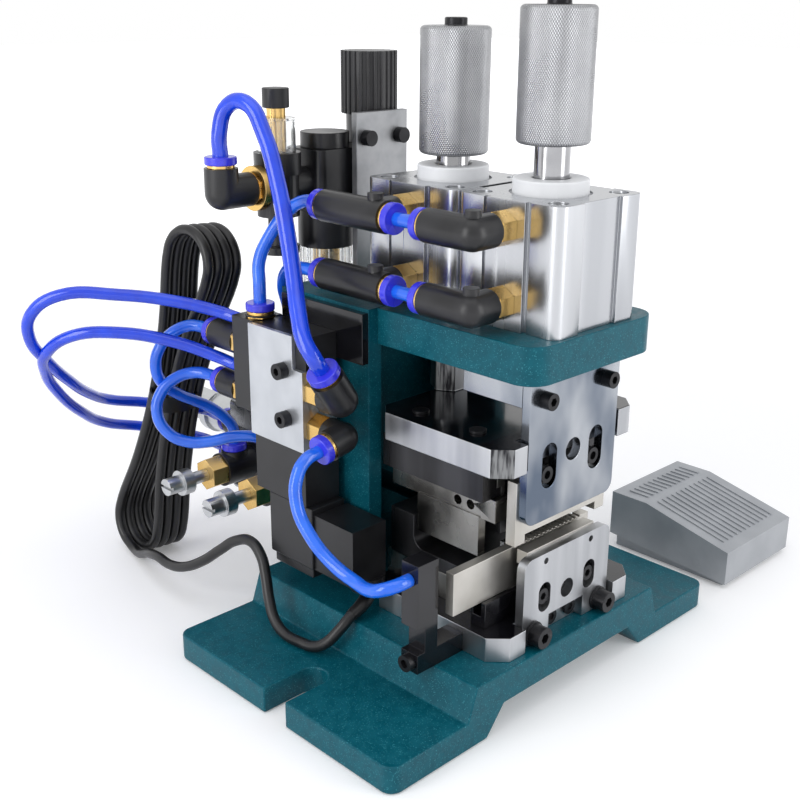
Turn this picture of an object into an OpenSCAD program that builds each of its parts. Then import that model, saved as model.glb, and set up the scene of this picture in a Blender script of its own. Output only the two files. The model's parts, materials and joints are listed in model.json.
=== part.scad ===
// Bench machine that strips a cable's insulation and twists its strands.
// Two upright air cylinders close the clamp jaw and the stripping blade, and
// a third one behind the column pulls the lower carriage back. The air set,
// the solenoid valve, the hoses, the mains lead and the foot pedal belong to it.
// Millimetres, +Z up, the operator's side faces -Y, the valve side is -X.

/* [Base] */
// Width of the base across its bench feet
base_w = 300; // [290:5:340]
// Depth of the base
base_d = 195; // [190:1:215]
// Height of the base's upper face above the bench
base_h = 37.5; // [32:0.5:42]
// Thickness of the bench feet
foot_t = 17; // [12:0.5:20]
// Width of the raised middle of the base
base_top_w = 168; // [160:1:180]
// Width of the arch under the base, at the bench
arch_w = 148; // [120:1:160]
// Height of the arch under the base
arch_h = 17; // [8:0.5:20]
// Width of each open bench slot
bench_slot_w = 19; // [10:0.5:24]
// Length of each open bench slot
bench_slot_l = 38; // [25:1:45]

/* [Column and arm] */
// Width of the column
column_w = 126; // [120:1:134]
// Depth of the column
column_d = 79.5; // [76:0.5:84]
// Height of the column's top above the base
column_h = 188.5; // [187:0.5:200]
// Thickness of the column's side walls
column_wall = 10.5; // [8:0.5:12]
// Thickness of the arm plate that carries the cylinders
arm_t = 22; // [16:0.5:24]
// Width of the arm plate
arm_w = 112.4; // [105:0.2:125]
// Reach of the arm plate in front of the column
arm_reach = 119; // [112:1:124]

/* [Press cylinders] */
// Side of the square cylinder bodies
cyl_s = 73; // [68:0.5:73]
// Height of the cylinder bodies
cyl_h = 71; // [66:0.5:80]
// Diameter of the piston rods
rod_d = 20; // [16:0.5:22]
// Diameter of the stroke knobs
knob_d = 40.8; // [34:0.2:44]
// Height of the stroke knobs
knob_h = 71.4; // [50:0.2:80]
// Stroke of the clamp jaw
clamp_stroke = 11.8; // [6:0.1:11.8]
// Stroke of the blade ram
ram_stroke = 5.9; // [3:0.1:5.9]

/* [Stripping slide] */
// Stroke of the carriage that pulls the insulation off
strip_stroke = 25; // [10:1:30]
// Side of the square strip cylinder
strip_cyl_s = 73; // [64:0.5:76]
// Length of the strip cylinder
strip_cyl_l = 84; // [78:1:90]
// Diameter of the strip rod
strip_rod_d = 12; // [10:0.5:16]

/* [Tools] */
// Width of the clamp jaws
jaw_w = 63; // [50:1:63]
// Thickness of the stripping blades
blade_t = 3; // [2:0.5:3]
// Thickness of the twisting bars
twist_t = 6; // [4:0.5:6]

/* [Air set] */
// Spacing of the regulator, filter and lubricator
unit_pitch = 39.5; // [38:0.5:42]
// Diameter of the filter's clear bowl
bowl_d = 34; // [28:0.5:37]
// Diameter of the regulator's knob
reg_knob_d = 37.5; // [30:0.5:38]

/* [Hoses and cords] */
// Diameter of the air supply hose
supply_d = 10; // [8:0.5:10]
// Diameter of the working air hoses
hose_d = 8; // [6:0.5:8]
// Diameter of the mains lead
lead_d = 7; // [6:0.2:7]
// Loops in the tied hank of mains lead
hank_loops = 4; // [3:1:4]

/* [Pedal] */
// Width of the foot pedal
pedal_w = 87.5; // [80:0.5:100]
// Length of the foot pedal
pedal_l = 100; // [90:1:120]
// Height of the foot pedal at its heel
pedal_h = 44; // [40:0.5:50]

/* [Hidden] */
$fn = 48;

over = 1;            // overrun of every cut past its face
run_gap = 0.05;      // play all round a sliding piece
air_gap = 0.3;       // space between pieces that pass each other
press_x = 5;         // the press tools stand this far right of the base's middle

// base
foot_step_lean = 7;
arch_lean = 14;
base_corner_r = 8;
base_mid = base_top_w/2;
foot_step_x = base_mid + foot_step_lean;

// column: side walls and a back wall round a pocket that the carriage enters
bolster_t = 15.5;
bolster_z = base_h + bolster_t;
column_top_z = base_h + column_h;
column_back = 97.5;
column_y1 = column_back;
column_y0 = column_y1 - column_d;
column_x0 = press_x - column_w/2;
column_back_t = 17.5;
rear_pad_t = 14.5;
rear_pad_w = 100;
rear_pad_h = 92;
rear_pad_lift = 2.5;
rear_pad_z = base_h + rear_pad_lift;
rear_y = column_y1 + rear_pad_t;

// arm plate
arm_z = column_top_z - arm_t;
arm_y0 = column_y0 - arm_reach;
arm_corner_r = 15;

// press cylinders
cyl_top_z = column_top_z + cyl_h;
cyl_space = 0.6;
rear_axis_back = 6;            // the rear cylinder's axis in front of the column
rear_axis_y = column_y0 - rear_axis_back;
front_axis_y = rear_axis_y - cyl_s - cyl_space;
lobe_w = 20;
lobe_r = 6;
flat_drop = 2;
port_boss_w = 27;
port_boss_t = 1;
tie_head_d = 10;
tie_head_h = 6;
tie_pit_d = 11;
tie_pit_h = 7;
chamber_d = 50;
chamber_end_t = 12;
piston_t = 20;
port_hole_d = 9;
port_depth = 12;
port_high = 56;
port_low = 15;
bumper_d = 42.5;
bumper_t = 8;
cyl_pit_d = 46;
cyl_pit_t = 1.5;

// stroke knobs
knob_seat_gap = 0.1;
front_knob_gap = 26.2;
front_knob_z = cyl_top_z + front_knob_gap;
rear_knob_z = cyl_top_z + bumper_t + ram_stroke + knob_seat_gap;
knob_chamfer = 1.5;
knob_screw_d = 13;
knob_screw_h = 4.5;
knob_bore_d = rod_d + 2*run_gap;
knob_top_t = 8;
knob_bore_h = knob_h - knob_top_t;
hex_key_d = 5;
hex_key_h = 2.5;

// clamp tools
clamp_block_h = 18.2;
clamp_block_w = 82;
clamp_block_d = 43.6;
clamp_block_z1 = arm_z - air_gap;
clamp_block_z0 = clamp_block_z1 - clamp_block_h;
front_plate_w = 81;
front_plate_t = 6;
upper_plate_ahead = 25.5;
upper_plate_y0 = front_axis_y - upper_plate_ahead;
upper_plate_y1 = upper_plate_y0 + front_plate_t;
upper_plate_h = 88.9;
upper_plate_z0 = clamp_block_z1 - upper_plate_h;
plate_r = 7;
upper_slot_w = 13;
upper_slot_h = 27;
slot_dx = 21.3;
upper_slot_up = 33.2;
upper_hole_d = 13.5;
upper_hole_up = 37.7;
jaw_spare = 0.2;
lower_jaw_up = 42;
lower_jaw_z1 = bolster_z + lower_jaw_up;
lower_jaw_h = 9;
lower_jaw_t = 8;
lower_jaw_ahead = 20.8;
lower_jaw_y0 = front_axis_y - lower_jaw_ahead;
lower_jaw_y1 = lower_jaw_y0 + lower_jaw_t;
upper_jaw_t = 7;
upper_jaw_z0 = lower_jaw_z1 + clamp_stroke + jaw_spare;
upper_jaw_w = 66;
upper_jaw_h = 34;
lug_w = 9;
lug_drop = 5.4;

// lower front plate
lower_plate_y1 = lower_jaw_y0;
lower_plate_y0 = lower_plate_y1 - front_plate_t;
lower_plate_z0 = base_h + air_gap;
lower_plate_up = 40.6;
lower_plate_z1 = bolster_z + lower_plate_up;
lower_slot_w = 11;
lower_slot_h = 19;
lower_slot_up = 12;
lower_slot_z = bolster_z + lower_slot_up;
lower_hole_d = 12;
lower_hole_up = 10.4;
lower_pin_d = 4;
lower_pin_drop = 5;
lower_cut_w = 33;
lower_cut_h = 14;

// bolster
bolster_w = 132;
bolster_ahead = 110.5;
bolster_y0 = column_y0 - bolster_ahead;
bolster_y1 = column_y0 - 2*over;
bolster_chamfer = 10;
bolster_notch_w = 84;

// blades and twisting bars
blade_ahead = 2.4;
blade_y0 = front_axis_y - blade_ahead;
blade_y1 = blade_y0 + blade_t;
lower_blade_w = 62;
lower_blade_up = 42.2;
lower_blade_z1 = bolster_z + lower_blade_up;
blade_spare = 0.9;
upper_blade_z0 = lower_blade_z1 + ram_stroke + blade_spare;
upper_blade_w = 70;
upper_blade_h = 24;
notch_w = 8;
notch_h = 4;
twist_ahead = 10.4;
twist_y0 = front_axis_y - twist_ahead;
twist_y1 = twist_y0 + twist_t;
twist_step = 0.3;
lower_twist_out = 82.5;
lower_twist_w = 122;
lower_twist_z1 = lower_blade_z1 + twist_step;
upper_twist_w = 58;
upper_twist_h = 36;
twist_slot_up = 29;
upper_twist_z0 = upper_blade_z0 + twist_step;
twist_slot_z = upper_twist_z0 + twist_slot_up;
knurl_w = 2;
knurl_h = 1;
twist_share = 0.4;   // crosswise travel of a twisting bar, of the strip stroke
twist_travel = twist_share*strip_stroke;
twist_pin_d = 5;
twist_slot_l = twist_pin_d + 2*twist_travel + over;

// jaw support, with the groove that guides the lower twisting bar
support_w = 62;
support_z1 = lower_jaw_z1 - lower_jaw_h;
guide_w = 118;
guide_h = 16;
guide_y1 = blade_y0 - air_gap;
guide_z1 = bolster_z + guide_h;
tongue_h = 9;
tongue_w = 60;

// slide rails and lower carriage
rail_h = 17;
rail_w = 20;
rail_dx = 40;
rail_y1 = bolster_y1 - over;
groove_h = 4;
groove_up = 7;
groove_t = 3;
carriage_w = 100;
slab_t = 9;
slab_z0 = bolster_z + rail_h + run_gap;
carriage_y1 = rear_axis_y;
upright_t = 20;
carriage_up = 47;
carriage_z1 = bolster_z + carriage_up;
fillet_r = 8;
strip_up = 32;
strip_z = bolster_z + strip_up;
rod_seat_l = 14;

// ram
ram_w = 125;
ram_t = 17.5;
ram_up = 47;
ram_z0 = upper_blade_z0 + ram_up;
ram_z1 = ram_z0 + ram_t;
ram_ahead = 26.4;
ram_y0 = front_axis_y - ram_ahead;
ram_clear = 4;
ram_y1 = column_y0 - ram_clear;
ram_chamfer = 9.5;
ram_notch_w = 84;
ram_notch_d = 8.5;
coupling_af = 21;
coupling_h = 19.5;
spigot_d = 14;
spigot_h = 13;
guide_bar_w = 16;
guide_bar_h = 20.5;
guide_bar_back = 21;
guide_bar_dx = 47;
guide_groove_w = 4;
slide_bar_w = 12;
slide_bar_dx = 41;
slide_bar_h = 14;
slide_bar_z1 = ram_z0 - guide_bar_h - air_gap;
slide_bar_z0 = slide_bar_z1 - slide_bar_h;
slide_bar_ahead = 6;
slide_bar_y0 = blade_y0 - slide_bar_ahead;
slide_bar_y1 = ram_y1 - air_gap;
hook_t = 3;
hook_neck_h = 6;
hook_head_w = 3.5;
hook_h = 5.5;
cheek_t = 6;
cheek_back = 3.1;
cheek_y0 = front_axis_y + cheek_back;
cheek_y1 = carriage_y1 - upright_t - over;
cheek_drop = 12;
cheek_z0 = upper_blade_z0 - cheek_drop;
bridge_d = 10;
slide_hole_d = 6;
slide_hole_l = 14;
cheek_set = 4;
holder_w = 64;
holder_h = 24;
holder_z0 = ram_z0 - holder_h;
holder_wall = 1.5;

// blow post
post_out = 98.5;
post_s = 16;
post_d = 13;
post_ahead = 3.4;
post_y0 = front_axis_y - post_ahead;
post_up = 52;
post_z1 = bolster_z + post_up;
post_arm_h = 12;
post_port_drop = 10;
post_slot_h = 16;
post_slot_w = 6;

// strip cylinder and its stroke adjuster
strip_y0 = rear_y;
strip_y1 = rear_y + strip_cyl_l;
strip_chamber_d = 44;
strip_end_t = 10;
strip_piston_t = 14;
neck_d = 30;
neck_l = 62;
collar_d = 34;
collar_l = 8;
adjuster_af = 22;
adjuster_l = 28;
hex_end_y = strip_y1 + neck_l + collar_l + adjuster_l;
strip_port_a = 14;
strip_port_b = 22;
strip_port_drop = 7;
speed_body_d = 24;
speed_body_l = 25;
speed_hex_af = 20;
speed_hex_l = 13;
speed_stem_d = 9;
speed_stem_l = 14;
speed_disc_d = 18;
speed_disc_l = 8;
speed_slot_d = 12;
speed_slot_l = 11;

// valve
valve_left = 90;
valve_w = 27;
valve_x0 = -valve_left;
valve_x1 = valve_x0 + valve_w;
valve_y0 = 41;
valve_d = 51;
valve_y1 = valve_y0 + valve_d;
valve_z0 = 138;
valve_h = 51;
valve_z1 = valve_z0 + valve_h;
valve_cap_h = 20.5;
valve_face_t = 3;
valve_face_set = 9;
manifold_t = 20;
manifold_h = 60;
manifold_z0 = 150;
pilot_h = 35;
pilot_set = 12;
coil_y0 = 35;
coil_d = 41;
coil_h = 41;
coil_lip_h = 7;
coil_lip_set = 2;
coil_top_z = valve_z0 - pilot_h;
plug_h = 37;
gland_d = 22;
gland_l = 8;
plug_z0 = 62;
nozzle_d = 11;
nozzle_z = 51;
gland_x = -69;
gland_y = 8;
valve_bracket_h = 31;
valve_bracket_z0 = 193;
valve_screw_in = [17, 15];
valve_screw_up = [49, 19];
valve_screws = [for (i = [0, 1]) [valve_y0 + valve_screw_in[i], valve_z0 + valve_screw_up[i]]];
port_in_high = 10;
port_up_high = 38;
port_in_low = 11;
port_up_low = 14;
manifold_port_in = 14;
manifold_port_up = [40, 8];
manifold_x = valve_x0 + manifold_port_in;
manifold_y = valve_y1 + manifold_t;
top_port_in = 56;
rear_port_dx = 27;
rear_port_dz = 12;

// push-in fittings
body_d = 19;
ring_d = 18;
ring_l = 5;
band_d = 17;
band_l = 2;
hex_af = 17;
hex_l = 11.5;
stud_d = port_hole_d;
stud_l = 8;
big_body_d = 21;
big_ring_d = 20;
tee_x = -58;
turn_out = 22.5;
stub_l = 4;
stub_y = 6;
stub_z = 1;
outlet_in = 20.5;
outlet_hex = 2;
outlet_turn = 23;
cap_d = 9;
cap_h = 3;

// air set, left to right: lubricator, filter, regulator
unit_set = 24.5;
unit_y = column_y1 + unit_set;
filter_x = 0;
lube_x = filter_x - unit_pitch;
reg_x = filter_x + unit_pitch;
unit_w = 37;
unit_d = 33;
unit_z0 = 265;
unit_h = 40;
unit_z1 = unit_z0 + unit_h;
air_plate_t = 5;
air_plate_z0 = 190;
air_plate_h = 137.5;
air_plate_x0 = 6;
air_plate_w = 45;
filter_cap_d = 32;
filter_cap_h = 10;
guard_d = 37;
guard_h = 24;
guard_z0 = unit_z0 - guard_h;
bowl_l = 36;
bowl_wall = 2;
bowl_ribs = 12;
bowl_rib_d = 4;
drain_d = 10;
drain_l = 8;
element_d = 18;
element_l = 28;
reg_knob_h = 40;
reg_neck_d = 31;
reg_neck_h = 19;
reg_knob_z0 = unit_z1 + reg_neck_h;
reg_knob_ribs = 24;
reg_rib_d = 2.4;
lube_body_d = 27;
lube_collar_d = 30;
lube_collar_h = 13.5;
dome_d = 24;
dome_wall = 1.5;
dome_h = 21;
core_d = 12;
core_h = 27;
lube_knob_d = 17;
lube_knob_h = 12;
lube_tube_d = 14;
lube_flange_d = 26;
lube_flange_t = 5;
left_port_d = 28;
left_port_l = 5.5;
channel_d = 20;
outlet_z = 284;
supply_port_d = 11.5;
supply_port_l = 12;

// pedal, standing free on the bench at the machine's right
pedal_off = 29.5;
pedal_back = 0.5;
pedal_x0 = base_w/2 + pedal_off;
pedal_y0 = pedal_back - base_d/2;
pedal_wall = 3;
pedal_gap = 1;
pedal_front_h = 28;
pedal_lift_front = 3;
pedal_lift_rear = 10;
pedal_flat_l = 30;
pedal_floor_t = 8;
pedal_rib_w = 2.2;
pedal_rib_h = 1;
pedal_ribs = 12;
pedal_rim = 9;
pedal_band = 8;
pedal_pin_d = 6;
pedal_pin_z = 11.5;
pedal_pin_set = 24;
pedal_lug_w = 6;
pedal_lug_d = 14;
pedal_switch_w = 30;
pedal_switch_l = 24;
pedal_switch_h = 22;
pedal_switch_back = 14;
pedal_gland_d = 12;
pedal_slot_w = 16;
pedal_slot_h = 22;
pedal_gland_l = 14;
pedal_gland_z = 7.5;

// screws
cap_m6_d = 10;
cap_m6_h = 6;
cap_m8_d = 13;
cap_m8_h = 8;
washer_t = 1.6;
foot_washer_d = 15;
flat_screw_h = 2.5;
ram_screw_t = 1.5;
flat_screw_dx = 9;
flat_screw_up = 8;
foot_screw_dx = 31;
foot_screw_up = 7.5;
top_screw_dx = 28;
top_screw_drop = 14.7;
ram_screw_in = 12;
plate_screw_in = 8;
plate_screw_drop = 16;

// the whole stands on the bench with its origin at the middle of its footprint
origin_x = (pedal_x0 + pedal_w - base_w/2)/2;
origin_y = (arm_y0 + hex_end_y)/2;
module placed() translate([-origin_x, -origin_y, 0]) children();

boss_x = press_x - cyl_s/2 - port_boss_t;
hex_x = boss_x - hex_l;
fit_z_high = column_top_z + port_high;
fit_z_low = column_top_z + port_low;
// cord routes, in the machine's own frame
supply_route = [[-83, 122, 306], [-83, 122, 320], [-80, 116, 336], [-77, 102, 338],
    [-76, 88, 322], [-78, 74, 296], [-83, 60, 268], [-90, 46, 244], [-97, 34, 226], [-100.7, 25, 214],
    [-99.5, 18.5, 205.3], [-94, 18.5, 197]];
tee_high_route = [[tee_x, 62, fit_z_high], [tee_x, 74, fit_z_high], [-60, 88, 274], [-66, 97, 260],
    [-74, 99, 244], [-76, 97, 231], [-76, 97, 219]];
tee_low_route = [[tee_x, 62, fit_z_low], [tee_x, 74, fit_z_low], [-56, 92, 238], [-52, 104, 225],
    [-46, 107, 208], [-44, 107, 190], [-46, 104, 176], [-53, 102, 168], [-62.8, 102, 168]];
link_high_route = [[tee_x, -22, fit_z_high], [tee_x, -5, fit_z_high]];
link_low_route = [[tee_x, -22, fit_z_low], [tee_x, -5, fit_z_low]];
blow_route = [[-97, 18.5, 148], [-106.8, 18.5, 145.8], [-114, 18, 138], [-118, 14, 122], [-118, 3, 107],
    [-115, -12, 94], [-113, -30, 88], [-115, -44, 89], [-114, -54, 93], [-107, -58.5, 95],
    [-98.8, -58.5, 95]];
valve_high_route = [[-76, 112.3, 204], [-76, 122, 204], [-82, 134, 207], [-100, 152, 213],
    [-130, 172, 219], [-158, 196, 219], [-170, 212, 206], [-168, 222, 188], [-152, 232, 166], [-130, 246, 144],
    [-108, 262, 126], [-84, 274, 112], [-54, 272, 103], [-32, 256, 98], [-22, 240, 97], [-22, 228, 97],
    [-22, 214, 97]];
valve_low_route = [[-76, 112.3, 172], [-76, 122, 172], [-82, 136, 176], [-102, 156, 186],
    [-130, 178, 193], [-150, 200, 190], [-158, 220, 176], [-150, 240, 156], [-134, 256, 134], [-110, 272, 110],
    [-82, 286, 90], [-50, 284, 79], [-30, 264, 74], [-22, 243, 73], [-22, 230, 73], [-22, 214, 73]];
speed_high_route = [[-76, 150, 190], [-76, 160, 190], [-81, 169, 190], [-90, 176, 185],
    [-97, 181, 175], [-99, 184, 162], [-94, 185, 149], [-83, 184, 139], [-70, 184, 131], [-59, 180, 124],
    [-50, 176, 115], [-45, 174, 106], [-45, 174, 96]];
speed_low_route = [[-76, 143, 158], [-76, 155, 158], [-81, 166, 158], [-91, 174, 154],
    [-100, 178, 145], [-104, 178, 132], [-101, 172, 119], [-92, 163, 112], [-80, 152, 112], [-67, 142, 115],
    [-55, 132, 114], [-45, 126, 108], [-45, 126, 96]];
lead_route = [[-69, 8, 51], [-69, 8, 48], [-76, 5, 45.5], [-86, 4, 42], [-95, 6, 34], [-101, 11, 26],
    [-104, 19, 21.5], [-106, 30, 20.8], [-107, 42, 21.2], [-106, 54, 26], [-103, 63, 36], [-99, 71, 48],
    [-96, 79, 58], [-95, 91, 64], [-97, 105, 60], [-100, 118, 50], [-104, 134, 37], [-107, 152, 27],
    [-107, 170, 22], [-105, 188, 20.8], [-102, 204, 16.5], [-98, 219, 9.5], [-95.5, 230, 5.2]];

// the tied hank leans towards the machine, its lower folds on the bench
hank_foot = [-78, 246, 5.8];
hank_head = [-60, 172, 250];
hank_fold_w = 42;
hank_waist_share = 0.35;
hank_pitch = 7.6;
hank_steps = 24;
hank_arc_n = 8;
hank_first = 24;
hank_last = 24;
tail_rise = [8, 21, 50, 84];
tail_out = [16, 22, 26, 26];
tail_shift = [0.1, 0.25, 0.3, 0.3];
mains_plug_d = 22;
mains_plug_l = 46;
mains_pin_d = 4;
mains_pin_l = 19;
mains_pin_gap = 12;

// push-in fittings as [port, end of the hexagon, corner, hose mouth]
front_high_mouth = link_high_route[0];
front_low_mouth = link_low_route[0];
valve_port_high = [valve_x0 + port_in_high, valve_y0, valve_z0 + port_up_high];
valve_port_low = [valve_x0 + port_in_low, valve_y0, valve_z0 + port_up_low];
elbows = [
    [[boss_x, front_axis_y, fit_z_high], [hex_x, front_axis_y, fit_z_high],
        [tee_x, front_axis_y, fit_z_high], front_high_mouth],
    [[boss_x, front_axis_y, fit_z_low], [hex_x, front_axis_y, fit_z_low],
        [tee_x, front_axis_y, fit_z_low], front_low_mouth],
    [valve_port_low, valve_port_low - [0, hex_l, 0], valve_port_low - [0, turn_out, 0], blow_route[0]]
];
tees = [
    [[boss_x, rear_axis_y, fit_z_high], [hex_x, rear_axis_y, fit_z_high], link_high_route[1], tee_high_route[0]],
    [[boss_x, rear_axis_y, fit_z_low], [hex_x, rear_axis_y, fit_z_low], link_low_route[1], tee_low_route[0]]
];
big_elbow = [valve_port_high, valve_port_high - [0, hex_l, 0], valve_port_high - [0, turn_out, 0],
    supply_route[len(supply_route)-1]];
straights = [
    [[manifold_x, manifold_y, manifold_z0 + manifold_port_up[0]],
        [manifold_x, manifold_y + stub_y, manifold_z0 + manifold_port_up[0]], speed_high_route[0]],
    [[manifold_x, manifold_y, manifold_z0 + manifold_port_up[1]],
        [manifold_x, manifold_y + stub_y, manifold_z0 + manifold_port_up[1]], speed_low_route[0]],
    [[manifold_x, valve_y0 + top_port_in, manifold_z0 + manifold_h],
        [manifold_x, valve_y0 + top_port_in, manifold_z0 + manifold_h + stub_z],
        tee_high_route[len(tee_high_route)-1]],
    [[press_x - rear_port_dx, strip_y1, strip_z + rear_port_dz],
        [press_x - rear_port_dx, strip_y1 + stub_l, strip_z + rear_port_dz],
        valve_high_route[len(valve_high_route)-1]],
    [[press_x - rear_port_dx, strip_y1, strip_z - rear_port_dz],
        [press_x - rear_port_dx, strip_y1 + stub_l, strip_z - rear_port_dz],
        valve_low_route[len(valve_low_route)-1]]
];
outlet_x = lube_x - outlet_in;
outlet_elbow = [[outlet_x, unit_y, outlet_z], [outlet_x - outlet_hex, unit_y, outlet_z],
    [outlet_x - outlet_turn, unit_y, outlet_z], supply_route[0]];
speed_ys = [strip_y0 + strip_port_a, strip_y1 - strip_port_b];
speed_x = boss_x - speed_body_l/2;
speed_z = strip_z - strip_port_drop;
speed_mouth_out = 18;

// shared shapes
module block(x0, x1, y0, y1, z0, z1) translate([x0, y0, z0]) cube([x1 - x0, y1 - y0, z1 - z0]);
module mid_block(x, w, y0, y1, z0, z1) block(x - w/2, x + w/2, y0, y1, z0, z1);
module round_rect(w, h, r) {
    square([w, h - 2*r], center = true);
    square([w - 2*r, h], center = true);
    for (sx = [-1, 1], sy = [-1, 1]) translate([sx*(w/2 - r), sy*(h/2 - r)]) circle(r);
}
// an outline in X and Z, thick from y towards the back
module wall(y, t) translate([0, y + t, 0]) rotate([90, 0, 0]) linear_extrude(t) children();
module slot_hole(w, h) {
    square([w, h - w], center = true);
    for (s = [-1, 1]) translate([0, s*(h - w)/2]) circle(d = w);
}
// a round or hexagonal bar from one point to another
module span(a, b, d, sides = $fn) {
    v = b - a;
    l = norm(v);
    translate(a) rotate([0, acos(v[2]/l), atan2(v[1], v[0])]) cylinder(d = d, h = l, $fn = sides);
}
module hex_span(a, b, af) span(a, b, af/cos(30), 6);
function toward(a, b, d) = a + (b - a)/norm(b - a)*d;
module axle(p, d, l) translate(p) cylinder(d = d, h = l);
module along_y(p, d, l) translate(p) rotate([-90, 0, 0]) cylinder(d = d, h = l);
module along_x(p, d, l) translate(p) rotate([0, 90, 0]) cylinder(d = d, h = l);
// a socket-head cap screw with its head's top at the origin, facing +Z
module cap_screw(d, h, shank) {
    difference() {
        translate([0, 0, -h]) cylinder(d = d, h = h);
        translate([0, 0, -h/2]) cylinder(d = d/2, h = h, $fn = 6);
    }
    translate([0, 0, -h - shank]) cylinder(d = d/2, h = shank + run_gap);
}
module facing_front(p) translate(p) rotate([90, 0, 0]) children();
module facing_left(p) translate(p) rotate([0, -90, 0]) children();

// the square body with round corners, a flat on each side and a port boss
module compact_profile(s) {
    difference() {
        round_rect(s, s, lobe_r);
        for (a = [0:90:270]) rotate(a)
            translate([s/2 - flat_drop, lobe_w - s/2]) square([flat_drop + over, s - 2*lobe_w]);
    }
    translate([-s/2 - port_boss_t, -port_boss_w/2])
        square([port_boss_t + 2*flat_drop, port_boss_w]);
}
// an air cylinder standing on the origin: rod bore, chamber, tie bolt pits, ports
module compact_cylinder(s, l, rod, chamber, end_t, ports, port_y) {
    difference() {
        linear_extrude(l) compact_profile(s);
        translate([0, 0, -over]) cylinder(d = rod + 2*run_gap, h = l + 2*over);
        translate([0, 0, end_t]) cylinder(d = chamber, h = l - 2*end_t);
        translate([0, 0, l - cyl_pit_t]) cylinder(d = cyl_pit_d, h = cyl_pit_t + over);
        for (sx = [-1, 1], sy = [-1, 1]) translate([sx*(s - lobe_w)/2, sy*(s - lobe_w)/2, l - tie_pit_h])
            cylinder(d = tie_pit_d, h = tie_pit_h + over);
        for (z = ports) translate([-s/2 - port_boss_t - over, port_y, z])
            rotate([0, 90, 0]) cylinder(d = port_hole_d, h = port_depth + over);
    }
}

// frame
module base_casting() color("darkslategray") placed() difference() {
    intersection() {
        wall(-base_d/2, base_d) polygon([
            [-base_w/2, 0], [-arch_w/2, 0], [arch_lean - arch_w/2, arch_h],
            [arch_w/2 - arch_lean, arch_h], [arch_w/2, 0], [base_w/2, 0], [base_w/2, foot_t],
            [foot_step_x, foot_t], [base_mid, base_h], [-base_mid, base_h],
            [-foot_step_x, foot_t], [-base_w/2, foot_t]]);
        translate([0, 0, -over]) linear_extrude(base_h + 2*over)
            round_rect(base_w, base_d, base_corner_r);
    }
    for (s = [-1, 1]) {
        translate([s*(base_w/2 - bench_slot_l + bench_slot_w/2), 0, -over])
            cylinder(d = bench_slot_w, h = foot_t + 2*over);
        mid_block(s*(base_w - bench_slot_l + bench_slot_w/2 + over)/2,
            bench_slot_l - bench_slot_w/2 + over, -bench_slot_w/2, bench_slot_w/2, -over, foot_t + over);
    }
}
module column() color("teal") placed() difference() {
    union() {
        mid_block(press_x, column_w, column_y0, column_y1, base_h, column_top_z);
        mid_block(press_x, rear_pad_w, column_y1 - over, rear_y, rear_pad_z, rear_pad_z + rear_pad_h);
    }
    mid_block(press_x, column_w - 2*column_wall, column_y0 - over, column_y1 - column_back_t, bolster_z, arm_z);
    axle([press_x, rear_axis_y, arm_z - over], rod_d + 2*over, arm_t + 2*over);
    along_y([press_x, column_y0, strip_z], strip_rod_d + over, column_d + rear_pad_t + over);
}
module arm_plate() color("teal") placed() translate([press_x, 0, arm_z]) difference() {
    linear_extrude(arm_t) {
        translate([-arm_w/2, arm_y0 + arm_corner_r]) square([arm_w, arm_reach - arm_corner_r]);
        translate([arm_corner_r - arm_w/2, arm_y0]) square([arm_w - 2*arm_corner_r, arm_corner_r + over]);
        for (s = [-1, 1]) translate([s*(arm_w/2 - arm_corner_r), arm_y0 + arm_corner_r]) circle(arm_corner_r);
    }
    for (y = [front_axis_y, rear_axis_y]) axle([0, y, -over], rod_d + 2*over, arm_t + 2*over);
}
module bolster_plate() color("gray") placed() translate([press_x, 0, base_h]) linear_extrude(bolster_t)
    polygon([
        [-bolster_w/2, bolster_y0 + bolster_chamfer], [bolster_chamfer - bolster_w/2, bolster_y0],
        [-bolster_notch_w/2, bolster_y0], [-bolster_notch_w/2, lower_jaw_y0],
        [bolster_notch_w/2, lower_jaw_y0], [bolster_notch_w/2, bolster_y0],
        [bolster_w/2 - bolster_chamfer, bolster_y0], [bolster_w/2, bolster_y0 + bolster_chamfer],
        [bolster_w/2, bolster_y1 - bolster_chamfer], [bolster_w/2 - bolster_chamfer, bolster_y1],
        [bolster_chamfer - bolster_w/2, bolster_y1], [-bolster_w/2, bolster_y1 - bolster_chamfer]]);
module press_cylinders() color("silver") placed() for (y = [front_axis_y, rear_axis_y])
    translate([press_x, y, column_top_z])
        compact_cylinder(cyl_s, cyl_h, rod_d, chamber_d, chamber_end_t, [port_low, port_high], 0);
module bumper_discs() color("white") placed() for (y = [front_axis_y, rear_axis_y]) difference() {
    axle([press_x, y, cyl_top_z - cyl_pit_t], bumper_d, cyl_pit_t + bumper_t);
    axle([press_x, y, cyl_top_z - cyl_pit_t - over], rod_d + over, cyl_pit_t + bumper_t + 2*over);
}

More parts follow.
